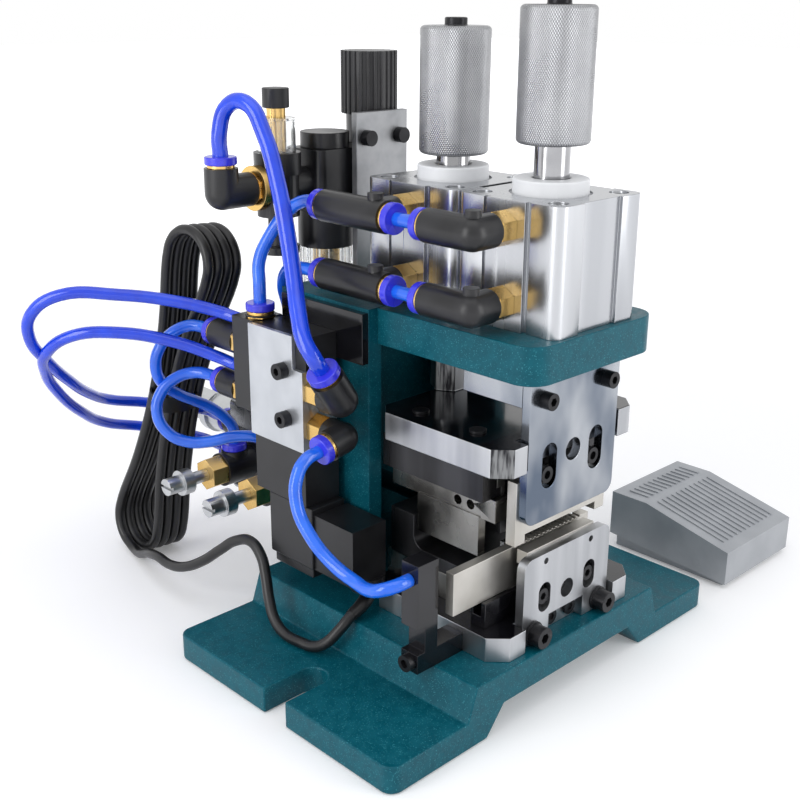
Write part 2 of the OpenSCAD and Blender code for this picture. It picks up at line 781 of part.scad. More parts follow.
// lower tools
module front_plate_outline(h, r_top, r_low) translate([0, h/2]) {
    square([front_plate_w, h - 2*plate_r], center = true);
    square([front_plate_w - 2*plate_r, h], center = true);
    for (s = [-1, 1]) {
        translate([s*(front_plate_w/2 - plate_r), h/2 - plate_r])
            if (r_top) circle(plate_r); else square(2*plate_r, center = true);
        translate([s*(front_plate_w/2 - plate_r), plate_r - h/2])
            if (r_low) circle(plate_r); else square(2*plate_r, center = true);
    }
}
module lower_front_plate() color("darkgray") placed() translate([press_x, 0, 0]) difference() {
    wall(lower_plate_y0, front_plate_t) difference() {
        translate([0, lower_plate_z0]) front_plate_outline(lower_plate_z1 - lower_plate_z0, true, false);
        for (s = [-1, 1]) {
            translate([s*slot_dx, lower_slot_z]) slot_hole(lower_slot_w, lower_slot_h);
            translate([s*slot_dx, lower_plate_z1 - lower_pin_drop]) circle(d = lower_pin_d);
        }
        translate([0, bolster_z + lower_hole_up]) circle(d = lower_hole_d);
        translate([-lower_cut_w/2, lower_plate_z0 - over]) square([lower_cut_w, lower_cut_h + over]);
    }
}
module lower_jaw() color("silver") placed()
    mid_block(press_x, jaw_w, lower_jaw_y0, lower_jaw_y1, support_z1, lower_jaw_z1);
module jaw_support() color("dimgray") placed() difference() {
    union() {
        mid_block(press_x, support_w, lower_jaw_y0, lower_jaw_y1, bolster_z, support_z1);
        mid_block(press_x, guide_w, lower_jaw_y1 - over, guide_y1, bolster_z, guide_z1);
    }
    mid_block(press_x, guide_w + 2*over, twist_y0 - run_gap, twist_y1 + run_gap,
        guide_z1 - tongue_h - run_gap, guide_z1 + over);
}
module slide_rails() color("dimgray") placed() for (s = [-1, 1]) difference() {
    mid_block(press_x + s*rail_dx, rail_w, blade_y1, rail_y1, bolster_z, bolster_z + rail_h);
    mid_block(press_x + s*(rail_dx - rail_w/2), 2*groove_t, blade_y1 - over, rail_y1 + over,
        bolster_z + groove_up, bolster_z + groove_up + groove_h);
}
module carriage() color("gray") placed() difference() {
    union() {
        mid_block(press_x, carriage_w, blade_y1, carriage_y1, slab_z0, slab_z0 + slab_t);
        mid_block(press_x, carriage_w, carriage_y1 - upright_t, carriage_y1, slab_z0, carriage_z1);
        mid_block(press_x, carriage_w, carriage_y1 - upright_t - fillet_r, carriage_y1,
            slab_z0, slab_z0 + slab_t + fillet_r);
        mid_block(press_x, 2*rail_dx - rail_w - 2*run_gap, blade_y1, carriage_y1,
            bolster_z + groove_up + run_gap, slab_z0 + over);
        mid_block(press_x, 2*rail_dx - rail_w + 2*groove_t - 2*run_gap, blade_y1, carriage_y1,
            bolster_z + groove_up + run_gap, bolster_z + groove_up + groove_h - run_gap);
    }
    along_x([press_x - carriage_w/2 - over, carriage_y1 - upright_t - fillet_r, slab_z0 + slab_t + fillet_r],
        2*fillet_r, carriage_w + 2*over);
    along_y([press_x, carriage_y1 - rod_seat_l, strip_z], strip_rod_d + 2*run_gap, rod_seat_l + over);
}
module strip_rod() color("lightgray") placed() {
    along_y([press_x, carriage_y1 - rod_seat_l, strip_z], strip_rod_d,
        strip_y0 + strip_end_t + strip_piston_t + strip_end_t - carriage_y1 + rod_seat_l);
    along_y([press_x, strip_y0 + strip_end_t + over, strip_z], strip_chamber_d - 2*run_gap, strip_piston_t);
}
module blade(w, z0, z1, edge) wall(blade_y0, blade_t) polygon(
    edge > 0
    ? [[-w/2, z0], [w/2, z0], [w/2, z1], [notch_w/2, z1], [0, z1 - notch_h], [-notch_w/2, z1], [-w/2, z1]]
    : [[-w/2, z0], [-notch_w/2, z0], [0, z0 + notch_h], [notch_w/2, z0], [w/2, z0], [w/2, z1], [-w/2, z1]]);
module lower_blade() color("lightsteelblue") placed() translate([press_x, 0, 0])
    blade(lower_blade_w, slab_z0 + run_gap, lower_blade_z1, 1);
module lower_twist_bar() color("lightsteelblue") placed() difference() {
    union() {
        block(press_x - lower_twist_out, press_x - lower_twist_out + lower_twist_w, twist_y0, twist_y1,
            guide_z1 + run_gap, lower_twist_z1);
        mid_block(press_x, tongue_w, twist_y0, twist_y1, guide_z1 - tongue_h, guide_z1 + over);
    }
    for (x = [press_x - support_w/2 : 2*knurl_w : press_x + support_w/2 - over])
        block(x, x + knurl_w, twist_y0 - over, twist_y1 + over, lower_twist_z1 - knurl_h, lower_twist_z1 + over);
}
module blow_post() color("black") placed() difference() {
    union() {
        block(-post_out, post_s - post_out, post_y0, post_y0 + post_d, base_h, post_z1);
        block(post_s - post_out - over, press_x - bolster_w/2, post_y0, post_y0 + post_d,
            base_h, base_h + post_arm_h);
    }
    block(-post_out - over, post_slot_w - post_out, post_y0 - over, post_y0 + post_d + over,
        base_h + post_arm_h, base_h + post_arm_h + post_slot_h);
    along_x([-post_out - over, post_y0 + post_d/2, post_z1 - post_port_drop], hose_d/2, post_s + 2*over);
}

// strip cylinder
module strip_cylinder() color("silver") placed() translate([press_x, strip_y0, strip_z]) rotate([-90, 0, 0])
    compact_cylinder(strip_cyl_s, strip_cyl_l, strip_rod_d, strip_chamber_d, strip_end_t,
        [strip_port_a, strip_cyl_l - strip_port_a], strip_port_drop);
module stroke_adjuster() color("lightgray") placed() {
    along_y([press_x, strip_y1 - cyl_pit_t, strip_z], neck_d, neck_l + cyl_pit_t);
    along_y([press_x, strip_y1 + neck_l, strip_z], collar_d, collar_l);
    translate([press_x, strip_y1 + neck_l + collar_l, strip_z]) rotate([-90, 0, 0])
        cylinder(d = adjuster_af/cos(30), h = adjuster_l, $fn = 6);
}

// solenoid valve
module valve_body() color("gainsboro") placed() difference() {
    union() {
        block(valve_x0, valve_x1, valve_y0, valve_y1, valve_z0, valve_z1);
        block(valve_x0, valve_x0 + valve_face_t, valve_y0 + valve_face_set, valve_y1, valve_z1 - over,
            valve_z1 + valve_cap_h);
    }
    for (p = [valve_port_high, valve_port_low])
        along_y([p[0], valve_y0 - over, p[2]], port_hole_d, port_depth + over);
}
module valve_ends() color("black") placed() {
    block(valve_x0 + valve_face_t, valve_x1, valve_y0, valve_y1, valve_z1, valve_z1 + valve_cap_h);
    block(valve_x0 + valve_face_t, valve_x1, valve_y1, valve_y1 + manifold_t, manifold_z0,
        manifold_z0 + manifold_h);
    block(valve_x0, valve_x1, valve_y0 - over, coil_y0 + coil_d + pilot_set, coil_top_z, valve_z0);
}
module valve_coil() color("black") placed() {
    block(valve_x0, valve_x1, coil_y0, coil_y0 + coil_d, coil_top_z - coil_h, coil_top_z);
    block(valve_x0 + coil_lip_set, valve_x1 - coil_lip_set, coil_y0 + coil_lip_set,
        coil_y0 + coil_d - coil_lip_set, coil_top_z - coil_h - coil_lip_h, coil_top_z - coil_h);
}
module valve_plug() color("dimgray") placed() {
    block(valve_x0 + coil_lip_set, valve_x1 + coil_lip_set, 0, coil_y0, plug_z0, plug_z0 + plug_h);
    axle([gland_x, gland_y, plug_z0 - gland_l], gland_d, gland_l + over);
    axle([gland_x, gland_y, nozzle_z], nozzle_d, plug_z0 - gland_l - nozzle_z + over);
}
module valve_bracket() color("black") placed()
    block(valve_x1, column_x0, column_y0, valve_y1, valve_bracket_z0, valve_bracket_z0 + valve_bracket_h);

// push-in fittings
module black_elbow(f, d) {
    span(f[1], f[2], d);
    translate(f[2]) sphere(d = d + run_gap);
    span(f[2], toward(f[3], f[2], ring_l + band_l), d);
}
module cap_on(p, d) axle([p[0], p[1], p[2] + d/2 - over], cap_d, cap_h + over);
module elbow_fittings() color("black") placed() {
    for (f = elbows) black_elbow(f, body_d);
    for (f = [elbows[0], elbows[1]]) cap_on(f[2], body_d);
    for (f = tees) {
        corner = [tee_x, rear_axis_y, f[1][2]];
        span(f[1], corner, body_d);
        span(toward(f[2], f[3], ring_l + band_l), toward(f[3], f[2], ring_l + band_l), body_d);
        cap_on(corner, body_d);
    }
    for (f = [big_elbow, outlet_elbow]) black_elbow(f, big_body_d);
    for (f = straights) span(f[1], toward(f[2], f[1], ring_l + band_l), body_d);
    for (y = speed_ys) {
        along_x([boss_x - speed_body_l, y, speed_z], speed_body_d, speed_body_l);
        span([speed_x, y, speed_z], [speed_x, y, speed_z + speed_mouth_out - ring_l], body_d);
    }
}
module ring_at(mouth, from, d) span(toward(mouth, from, ring_l), mouth, d);
module release_rings() color("royalblue") placed() {
    for (f = elbows) ring_at(f[3], f[2], ring_d);
    for (f = tees) {
        ring_at(f[2], f[3], ring_d);
        ring_at(f[3], f[2], ring_d);
    }
    for (f = [big_elbow, outlet_elbow]) ring_at(f[3], f[2], big_ring_d);
    for (f = straights) ring_at(f[2], f[1], ring_d);
    for (y = speed_ys)
        axle([speed_x, y, speed_z + speed_mouth_out - ring_l], ring_d, ring_l);
}
module band_at(mouth, from, d) span(toward(mouth, from, ring_l + band_l), toward(mouth, from, ring_l), d);
module brass_fittings() color("gold") placed() {
    for (f = concat(elbows, tees, [big_elbow, outlet_elbow], straights)) hex_span(f[0], f[1], hex_af);
    for (f = concat(elbows, [big_elbow], tees)) span(f[0], toward(f[0], f[1], -stud_l), stud_d - 2*run_gap);
    for (f = elbows) band_at(f[3], f[2], band_d);
    for (f = tees) {
        band_at(f[2], f[3], band_d);
        band_at(f[3], f[2], band_d);
    }
    for (f = [big_elbow, outlet_elbow]) band_at(f[3], f[2], band_d);
    for (f = straights) band_at(f[2], f[1], band_d);
    along_x([outlet_elbow[0][0], unit_y, outlet_z], left_port_d, left_port_l);
    for (y = speed_ys) hex_span([boss_x - speed_body_l, y, speed_z],
        [boss_x - speed_body_l - speed_hex_l, y, speed_z], speed_hex_af);
    axle([lube_x, unit_y, unit_z1], core_d, core_h);
    axle([filter_x, unit_y, guard_z0 - element_l], element_d, element_l);
}

// air set: regulator, filter and lubricator on one plate
module air_unit_body() color("black") placed() difference() {
    union() {
        for (x = [filter_x, reg_x]) translate([x, unit_y, unit_z0]) linear_extrude(unit_h)
            round_rect(unit_w, unit_d, lobe_r);
        axle([lube_x, unit_y, unit_z0], lube_body_d, unit_h - lube_collar_h);
        axle([lube_x, unit_y, unit_z1 - lube_collar_h], lube_collar_d, lube_collar_h);
            along_x([outlet_elbow[0][0] + left_port_l, unit_y, outlet_z], channel_d,
            filter_x - outlet_elbow[0][0] - left_port_l);
        block(filter_x, reg_x, unit_y - unit_d/4, unit_y + unit_d/4, unit_z0, unit_z1);
    }
    along_x([reg_x + unit_w/2 - supply_port_l, unit_y, outlet_z], supply_port_d, supply_port_l + over);
}
module clear_bowls() color("lightcyan", 0.5) placed() {
    difference() {
        union() {
            axle([filter_x, unit_y, guard_z0 - bowl_l], bowl_d, bowl_l);
            for (i = [0:bowl_ribs - 1]) translate([filter_x, unit_y, guard_z0 - bowl_l]) rotate(i*360/bowl_ribs)
                translate([bowl_d/2 - bowl_rib_d/4, 0, 0]) cylinder(d = bowl_rib_d, h = bowl_l);
        }
        axle([filter_x, unit_y, guard_z0 - bowl_l + bowl_wall], bowl_d - 2*bowl_wall, bowl_l);
    }
    difference() {
        axle([lube_x, unit_y, unit_z1], dome_d, dome_h);
        axle([lube_x, unit_y, unit_z1 - over], dome_d - 2*dome_wall, dome_h + over - dome_wall);
        axle([lube_x, unit_y, unit_z1], core_d + 2*run_gap, dome_h + over);
    }
}
module air_unit_guards() color("black") placed() {
    axle([filter_x, unit_y, unit_z1], filter_cap_d, filter_cap_h);
    axle([filter_x, unit_y, guard_z0], guard_d, guard_h);
    axle([reg_x, unit_y, unit_z1], reg_neck_d, reg_neck_h);
    axle([lube_x, unit_y, unit_z0 - guard_h], lube_flange_d, lube_flange_t);
    axle([lube_x, unit_y, unit_z0 - guard_h + lube_flange_t], lube_tube_d, guard_h - lube_flange_t);
    axle([filter_x, unit_y, guard_z0 - bowl_l - drain_l], drain_d, drain_l);
}
module air_unit_bracket() color("silver") placed()
    block(air_plate_x0, air_plate_x0 + air_plate_w, column_y1, column_y1 + air_plate_t,
        air_plate_z0, air_plate_z0 + air_plate_h);
module regulator_knob() color("black") placed() translate([reg_x, unit_y, reg_knob_z0]) {
    translate([0, 0, run_gap]) cylinder(d = reg_knob_d - reg_rib_d, h = reg_knob_h - run_gap);
    for (i = [0:reg_knob_ribs - 1]) rotate(i*360/reg_knob_ribs)
        translate([(reg_knob_d - reg_rib_d)/2, 0, run_gap]) cylinder(d = reg_rib_d, h = reg_knob_h - run_gap);
}
module oil_knob() color("black") placed()
    axle([lube_x, unit_y, unit_z1 + core_h + run_gap], lube_knob_d, lube_knob_h);

// clamp: the front rod carries the block, the front plate and the upper jaw
module press_rod(axis_y, seat_z, top_z) {
    axle([press_x, axis_y, seat_z], spigot_d - 2*run_gap, spigot_h);
    axle([press_x, axis_y, seat_z + spigot_h], rod_d, top_z - seat_z - spigot_h);
    axle([press_x, axis_y, cyl_top_z - chamber_end_t - piston_t - over], chamber_d - 2*run_gap, piston_t);
}
module clamp_rod() color("lightgray") placed()
    press_rod(front_axis_y, clamp_block_z1 - spigot_h, front_knob_z + knob_bore_h - over);
module clamp_block() color("silver") placed() difference() {
    mid_block(press_x, clamp_block_w, upper_plate_y1, upper_plate_y1 + clamp_block_d,
        clamp_block_z0, clamp_block_z1);
    axle([press_x, front_axis_y, clamp_block_z1 - spigot_h - run_gap], spigot_d, spigot_h + over);
}
module upper_front_plate() color("lightslategray") placed() translate([press_x, 0, 0])
    wall(upper_plate_y0, front_plate_t) difference() {
        translate([0, upper_plate_z0]) front_plate_outline(upper_plate_h, false, true);
        for (s = [-1, 1]) translate([s*slot_dx, upper_plate_z0 + upper_slot_up])
            slot_hole(upper_slot_w, upper_slot_h);
        translate([0, upper_plate_z0 + upper_hole_up]) circle(d = upper_hole_d);
    }
module upper_jaw() color("lightsteelblue") placed() {
    mid_block(press_x, upper_jaw_w, upper_plate_y1, upper_plate_y1 + upper_jaw_t,
        upper_jaw_z0, upper_jaw_z0 + upper_jaw_h);
    for (s = [-1, 1]) mid_block(press_x + s*(upper_jaw_w + lug_w)/2, lug_w,
        upper_plate_y1, upper_plate_y1 + upper_jaw_t, upper_jaw_z0 - lug_drop, upper_jaw_z0 + upper_jaw_h);
}
module clamp_screws() color("dimgray") placed() for (s = [-1, 1])
    facing_front([press_x + s*top_screw_dx, upper_plate_y0 - cap_m6_h, clamp_block_z1 - top_screw_drop])
        cap_screw(cap_m6_d, cap_m6_h, 0);
module stroke_knob(axis_y, z) translate([press_x, axis_y, z]) {
    difference() {
        rotate_extrude() polygon([[0, 0], [knob_d/2 - knob_chamfer, 0], [knob_d/2, knob_chamfer],
            [knob_d/2, knob_h - knob_chamfer], [knob_d/2 - knob_chamfer, knob_h], [0, knob_h]]);
        translate([0, 0, -over]) cylinder(d = knob_bore_d, h = knob_bore_h + over);
    }
    translate([0, 0, knob_h]) difference() {
        cylinder(d = knob_screw_d, h = knob_screw_h);
        translate([0, 0, knob_screw_h - hex_key_h]) cylinder(d = hex_key_d, h = hex_key_h + over, $fn = 6);
    }
}
module clamp_knob() color("silver") placed() stroke_knob(front_axis_y, front_knob_z);

// ram: the rear rod carries the plate that holds the upper slides
module ram_rod() color("lightgray") placed() {
    press_rod(rear_axis_y, ram_z1 + coupling_h - spigot_h, rear_knob_z + knob_bore_h - over);
    axle([press_x, rear_axis_y, ram_z1 + run_gap], spigot_d - 2*run_gap, coupling_h - spigot_h);
}
module ram_plate() color("black") placed() {
    translate([press_x, 0, ram_z0]) linear_extrude(ram_t) polygon([
        [-ram_w/2, ram_y0 + ram_chamfer], [ram_chamfer - ram_w/2, ram_y0], [-ram_notch_w/2, ram_y0],
        [-ram_notch_w/2, ram_y0 + ram_notch_d], [ram_notch_w/2, ram_y0 + ram_notch_d],
        [ram_notch_w/2, ram_y0], [ram_w/2 - ram_chamfer, ram_y0], [ram_w/2, ram_y0 + ram_chamfer],
        [ram_w/2, ram_y1 - ram_chamfer], [ram_w/2 - ram_chamfer, ram_y1],
        [ram_chamfer - ram_w/2, ram_y1], [-ram_w/2, ram_y1 - ram_chamfer]]);
    difference() {
        translate([press_x, rear_axis_y, ram_z1]) cylinder(d = coupling_af/cos(30), h = coupling_h, $fn = 6);
        axle([press_x, rear_axis_y, ram_z1], spigot_d, coupling_h + over);
    }
}
module ram_guides() color("black") placed() {
    for (s = [-1, 1]) difference() {
        mid_block(press_x + s*guide_bar_dx, guide_bar_w, ram_y0 + guide_bar_back, ram_y1,
            ram_z0 - guide_bar_h, ram_z0);
        mid_block(press_x + s*(guide_bar_dx - guide_bar_w/2), 2*guide_groove_w,
            ram_y0 + guide_bar_back - over, ram_y1 + over,
            slide_bar_z1 + hook_neck_h - run_gap, slide_bar_z1 + hook_neck_h + hook_h + run_gap);
    }
    difference() {
        mid_block(press_x, holder_w, twist_y0 - holder_wall, twist_y1 + holder_wall, holder_z0, ram_z0);
        mid_block(press_x, holder_w + 2*over, twist_y0 - run_gap, twist_y1 + run_gap,
            holder_z0 - over, upper_twist_z0 + upper_twist_h + run_gap);
    }
    for (s = [-1, 1]) along_y([press_x + s*upper_twist_w/4, twist_y0 - run_gap, twist_slot_z],
        twist_pin_d, twist_t + 2*run_gap);
}
module upper_twist_bar() color("lightsteelblue") placed() difference() {
    mid_block(press_x, upper_twist_w, twist_y0, twist_y1, upper_twist_z0, upper_twist_z0 + upper_twist_h);
    for (s = [-1, 1]) translate([press_x + s*upper_twist_w/4, 0, twist_slot_z])
        wall(twist_y0 - over, twist_t + 2*over) rotate(90) slot_hole(twist_pin_d + 2*run_gap, twist_slot_l);
    for (x = [press_x - upper_twist_w/2 : 2*knurl_w : press_x + upper_twist_w/2 - over])
        block(x, x + knurl_w, twist_y0 - over, twist_y1 + over, upper_twist_z0 - over, upper_twist_z0 + knurl_h);
}
module ram_screws() color("dimgray") placed() {
    for (s = [-1, 1], y = [ram_y0 + guide_bar_back + ram_screw_in, ram_y1 - 2*ram_screw_in])
        axle([press_x + s*guide_bar_dx, y, ram_z1], cap_m6_d, ram_screw_t);
}
module ram_knob() color("silver") placed() stroke_knob(rear_axis_y, rear_knob_z);

// upper slides hang in the ram's guides and follow the carriage
module upper_slides() color("gray") placed() difference() {
    union() {
        for (s = [-1, 1]) {
            mid_block(press_x + s*slide_bar_dx, slide_bar_w, slide_bar_y0, slide_bar_y1,
                slide_bar_z0, slide_bar_z1);
            mid_block(press_x + s*(guide_bar_dx - guide_bar_w/2 - hook_t/2 - run_gap), hook_t,
                ram_y0 + guide_bar_back, slide_bar_y1, slide_bar_z1 - over, slide_bar_z1 + hook_neck_h + hook_h);
            mid_block(press_x + s*(guide_bar_dx - guide_bar_w/2 + (hook_head_w - hook_t)/2 - run_gap),
                hook_head_w + hook_t, ram_y0 + guide_bar_back, slide_bar_y1,
                slide_bar_z1 + hook_neck_h, slide_bar_z1 + hook_neck_h + hook_h);
            mid_block(press_x + s*(slide_bar_dx + cheek_set), cheek_t, cheek_y0, cheek_y1, cheek_z0,
                slide_bar_z0 + over);
        }
        mid_block(press_x, 2*slide_bar_dx, blade_y1, blade_y1 + bridge_d, slide_bar_z0, slide_bar_z1);
    }
    for (i = [1, 2]) along_x([press_x - slide_bar_dx - slide_bar_w/2 - over, blade_y1 + i*bridge_d,
        slide_bar_z0 + slide_hole_d], slide_hole_d, slide_hole_l);
}
module upper_blade() color("lightsteelblue") placed() translate([press_x, 0, 0])
    blade(upper_blade_w - run_gap, upper_blade_z0, upper_blade_z0 + upper_blade_h, -1);

// adjusting screw of a speed control: stem, lock disc and slotted head
module speed_screw(y) {
    x1 = boss_x - speed_body_l;
    translate([x1, y, speed_z]) rotate([0, -90, 0]) {
        translate([0, 0, speed_hex_l + run_gap]) cylinder(d = speed_stem_d, h = speed_stem_l);
        translate([0, 0, speed_hex_l + speed_stem_l]) cylinder(d = speed_disc_d, h = speed_disc_l);
        translate([0, 0, speed_hex_l + speed_stem_l + speed_disc_l]) difference() {
            cylinder(d = speed_slot_d, h = speed_slot_l);
            translate([0, 0, speed_slot_l]) cube([speed_slot_d/6, 2*speed_slot_d, speed_slot_d/3], center = true);
        }
    }
}
module speed_screw_rear() color("gold") placed() speed_screw(speed_ys[1]);
module speed_screw_front() color("gold") placed() speed_screw(speed_ys[0]);

// screws of the frame
module black_screws() color("dimgray") placed() {
    for (s = [-1, 1]) {
        facing_front([press_x + s*foot_screw_dx, lower_plate_y0 - washer_t - cap_m8_h, base_h + foot_screw_up])
            cap_screw(cap_m8_d, cap_m8_h, 0);
        facing_front([press_x + s*foot_screw_dx, lower_plate_y0, base_h + foot_screw_up])
            cylinder(d = foot_washer_d, h = washer_t);
        facing_front([press_x + s*flat_screw_dx, lower_plate_y1 - flat_screw_h, base_h + flat_screw_up])
            cap_screw(cap_m6_d, flat_screw_h, 0);
        facing_front([press_x + s*slot_dx, lower_plate_y1 - cap_m6_h + over, lower_slot_z])
            cap_screw(cap_m6_d, cap_m6_h - over, 0);
        translate([air_plate_x0 + air_plate_w/2 + s*(air_plate_w/2 - plate_screw_in),
            column_y1, air_plate_z0 + air_plate_h - plate_screw_drop]) rotate([90, 0, 0])
            cylinder(d = cap_m6_d, h = cap_m6_h);
    }
    for (p = valve_screws) facing_left([valve_x0 - cap_m6_h, p[0], p[1]]) cap_screw(cap_m6_d, cap_m6_h, 0);
}
module bright_bolts() color("lightgray") placed() {
    for (y = [front_axis_y, rear_axis_y], sx = [-1, 1], sy = [-1, 1])
        translate([press_x + sx*(cyl_s - lobe_w)/2, y + sy*(cyl_s - lobe_w)/2, cyl_top_z - tie_pit_h + tie_head_h])
            cap_screw(tie_head_d, tie_head_h, 0);
    for (sx = [-1, 1], sz = [-1, 1])
        translate([press_x + sx*(strip_cyl_s - lobe_w)/2, strip_y1 - tie_pit_h + tie_head_h,
            strip_z + sz*(strip_cyl_s - lobe_w)/2]) rotate([-90, 0, 0]) cap_screw(tie_head_d, tie_head_h, 0);
}

// pedal
module pedal_at() placed() translate([pedal_x0, pedal_y0, 0]) children();
// an outline in Y and Z, thick along +X
module side_cut(x, w) translate([x, 0, 0]) rotate([90, 0, 90]) linear_extrude(w) children();
pedal_slope_end = pedal_l - pedal_flat_l - pedal_band/2;
module pedal_treadle() color("gray") pedal_at() difference() {
    union() {
        side_cut(0, pedal_w) polygon([[0, pedal_lift_front], [pedal_l, pedal_lift_rear],
            [pedal_l, pedal_h], [pedal_l - pedal_flat_l, pedal_h], [0, pedal_front_h]]);
        for (i = [0:pedal_ribs - 1]) {
            x = pedal_rim + (pedal_w - 2*pedal_rim - pedal_rib_w)*i/(pedal_ribs - 1);
            side_cut(x, pedal_rib_w) polygon([[pedal_l - pedal_rim, pedal_h - over],
                [pedal_l - pedal_rim, pedal_h + pedal_rib_h],
                [pedal_l - pedal_flat_l + pedal_band/2, pedal_h + pedal_rib_h],
                [pedal_l - pedal_flat_l + pedal_band/2, pedal_h - over]]);
            side_cut(x, pedal_rib_w) polygon([
                [pedal_rim, pedal_slope(pedal_rim) - over],
                [pedal_rim, pedal_slope(pedal_rim) + pedal_rib_h],
                [pedal_slope_end, pedal_slope(pedal_slope_end) + pedal_rib_h],
                [pedal_slope_end, pedal_slope(pedal_slope_end) - over]]);
        }
    }
    side_cut(pedal_wall, pedal_w - 2*pedal_wall) polygon([[pedal_wall, 0], [pedal_l - pedal_wall, 0],
        [pedal_l - pedal_wall, pedal_h - pedal_wall], [pedal_l - pedal_flat_l, pedal_h - pedal_wall],
        [pedal_wall, pedal_front_h - pedal_wall]]);
    along_x([-over, pedal_pin_set, pedal_pin_z], pedal_pin_d + 2*run_gap, pedal_w + 2*over);
    block((pedal_w - pedal_slot_w)/2, (pedal_w + pedal_slot_w)/2, pedal_l - 2*pedal_wall, pedal_l + over, 0,
        pedal_slot_h);
}
function pedal_slope(y) = pedal_front_h + (pedal_h - pedal_front_h)*y/(pedal_l - pedal_flat_l);
module pedal_base() color("dimgray") pedal_at() {
    inset = pedal_wall + pedal_gap;
    block(inset, pedal_w - inset, inset, pedal_l - inset, 0, pedal_floor_t);
    for (x = [inset, pedal_w - inset - pedal_lug_w])
        block(x, x + pedal_lug_w, pedal_pin_set - pedal_lug_d/2, pedal_pin_set + pedal_lug_d/2,
            pedal_floor_t - over, pedal_pin_z + pedal_pin_d);
    along_x([0, pedal_pin_set, pedal_pin_z], pedal_pin_d, pedal_w);
    along_y([pedal_w/2, pedal_l - inset - over, pedal_gland_z], pedal_gland_d, pedal_gland_l);
}
module pedal_switch() color("black") pedal_at()
    block((pedal_w - pedal_switch_w)/2, (pedal_w + pedal_switch_w)/2,
        pedal_l - pedal_wall - pedal_gap - pedal_switch_back - pedal_switch_l,
        pedal_l - pedal_wall - pedal_gap - pedal_switch_back, pedal_floor_t, pedal_floor_t + pedal_switch_h);

// hoses and leads: one closed tube swept along a route's points
function unit_of(v) = v/norm(v);
function along(p, i) = unit_of(i == 0 ? p[1] - p[0] : i == len(p) - 1 ? p[i] - p[i-1]
    : unit_of(p[i+1] - p[i]) + unit_of(p[i] - p[i-1]));
function carried(p, t, i, side) = let (s = i == 0 ? cross(t[0], abs(t[0][2]) < 0.9 ? [0, 0, 1] : [1, 0, 0])
    : side - t[i]*(side*t[i])) unit_of(s);
function sides_of(p, t) = [for (i = 0, s = carried(p, t, 0, [0, 0, 0]); i < len(p);
    i = i + 1, s = i < len(p) ? carried(p, t, i, s) : s) s];
module tube(p, d, sides) {
    t = [for (i = [0:len(p)-1]) along(p, i)];
    s = sides_of(p, t);
    points = [for (i = [0:len(p)-1], k = [0:sides-1])
        p[i] + d/2*(s[i]*cos(k*360/sides) + cross(t[i], s[i])*sin(k*360/sides))];
    faces = concat(
        [for (i = [0:len(p)-2], k = [0:sides-1]) let (a = i*sides + k, b = i*sides + (k+1)%sides)
            each [[a, a + sides, b], [b, a + sides, b + sides]]],
        [[for (k = [0:sides-1]) k]],
        [[for (k = [sides-1:-1:0]) (len(p)-1)*sides + k]]);
    polyhedron(points, faces);
}
function curve(p, cuts) = concat([for (i = [0:len(p)-2], j = [0:cuts-1])
    let (t = j/cuts, a = p[max(i-1, 0)], b = p[i], c = p[i+1], e = p[min(i+2, len(p)-1)])
    (2*b + (c - a)*t + (2*a - 5*b + 4*c - e)*t*t + (3*b - a - 3*c + e)*t*t*t)/2], [p[len(p)-1]]);
module supply_hose() color("blue") placed() tube(curve(supply_route, 1), supply_d, 8);
module tee_hoses() color("blue") placed() {
    tube(curve(tee_high_route, 1), hose_d, 8);
    tube(curve(tee_low_route, 1), hose_d, 8);
    for (r = [link_high_route, link_low_route]) span(r[0], r[1], hose_d);
}
module blow_hose() color("dodgerblue") placed() tube(curve(blow_route, 1), hose_d, 8);
module valve_hoses() color("blue") placed() for (r = [valve_high_route, valve_low_route])
    tube(curve(r, 1), hose_d, 8);
module speed_hoses() color("dodgerblue") placed() for (r = [speed_high_route, speed_low_route])
    tube(curve(r, 1), hose_d, 8);
module power_lead() color("black") placed() tube(concat(curve(lead_route, 1), [lead_end]), lead_d, 8);

lead_end = [-93.7, 238.5, 4.7];

// the hank: one unbroken tube whose loops lie side by side, drawn in at the waist
hank_len = norm(hank_head - hank_foot);
hank_up = (hank_head - hank_foot)/hank_len;
hank_side = unit_of(cross([1, 0, 0], hank_up));
hank_layer = unit_of(cross(hank_up, hank_side));
function in_hank(s, w, x) = hank_foot + hank_up*s - hank_side*w + hank_layer*x;
hank_r = hank_fold_w/2;
function hank_leg(j) = j <= hank_arc_n
    ? let (turn = j*180/hank_arc_n - 90) [hank_r*(1 - cos(turn)), hank_r*sin(turn)]
    : let (t = (j - hank_arc_n)/(hank_steps/2 - hank_arc_n))
        [hank_r + (hank_len - hank_fold_w)*t, hank_r*(1 - (1 - hank_waist_share)*sin(180*t))];
function hank_point(i) = let (m = (i + hank_arc_n/2) % hank_steps, leg = hank_leg(m % (hank_steps/2)),
    back = m >= hank_steps/2)
    in_hank(back ? hank_len - leg[0] : leg[0], back ? -leg[1] : leg[1],
        (i/hank_steps - hank_middle)*hank_pitch);
hank_end = hank_loops*hank_steps + hank_last;
hank_middle = (hank_first + hank_end)/hank_steps/2;
hank_tail = [for (k = [0:len(tail_rise)-1])
    in_hank(tail_rise[k], tail_out[k], (hank_end/hank_steps - hank_middle + tail_shift[k])*hank_pitch)];
hank_run = [for (i = [hank_first:hank_end]) hank_point(i)];
hank_points = concat([lead_end], hank_run, hank_tail);
hank_gap = min([for (i = [0:len(hank_run)-1], j = [i + hank_steps/2 : 1 : len(hank_run)-1])
    norm(hank_run[i] - hank_run[j])]) - lead_d;
echo(hank_least_gap = hank_gap);
module cord_hank() color("black") placed() tube(hank_points, lead_d, 6);
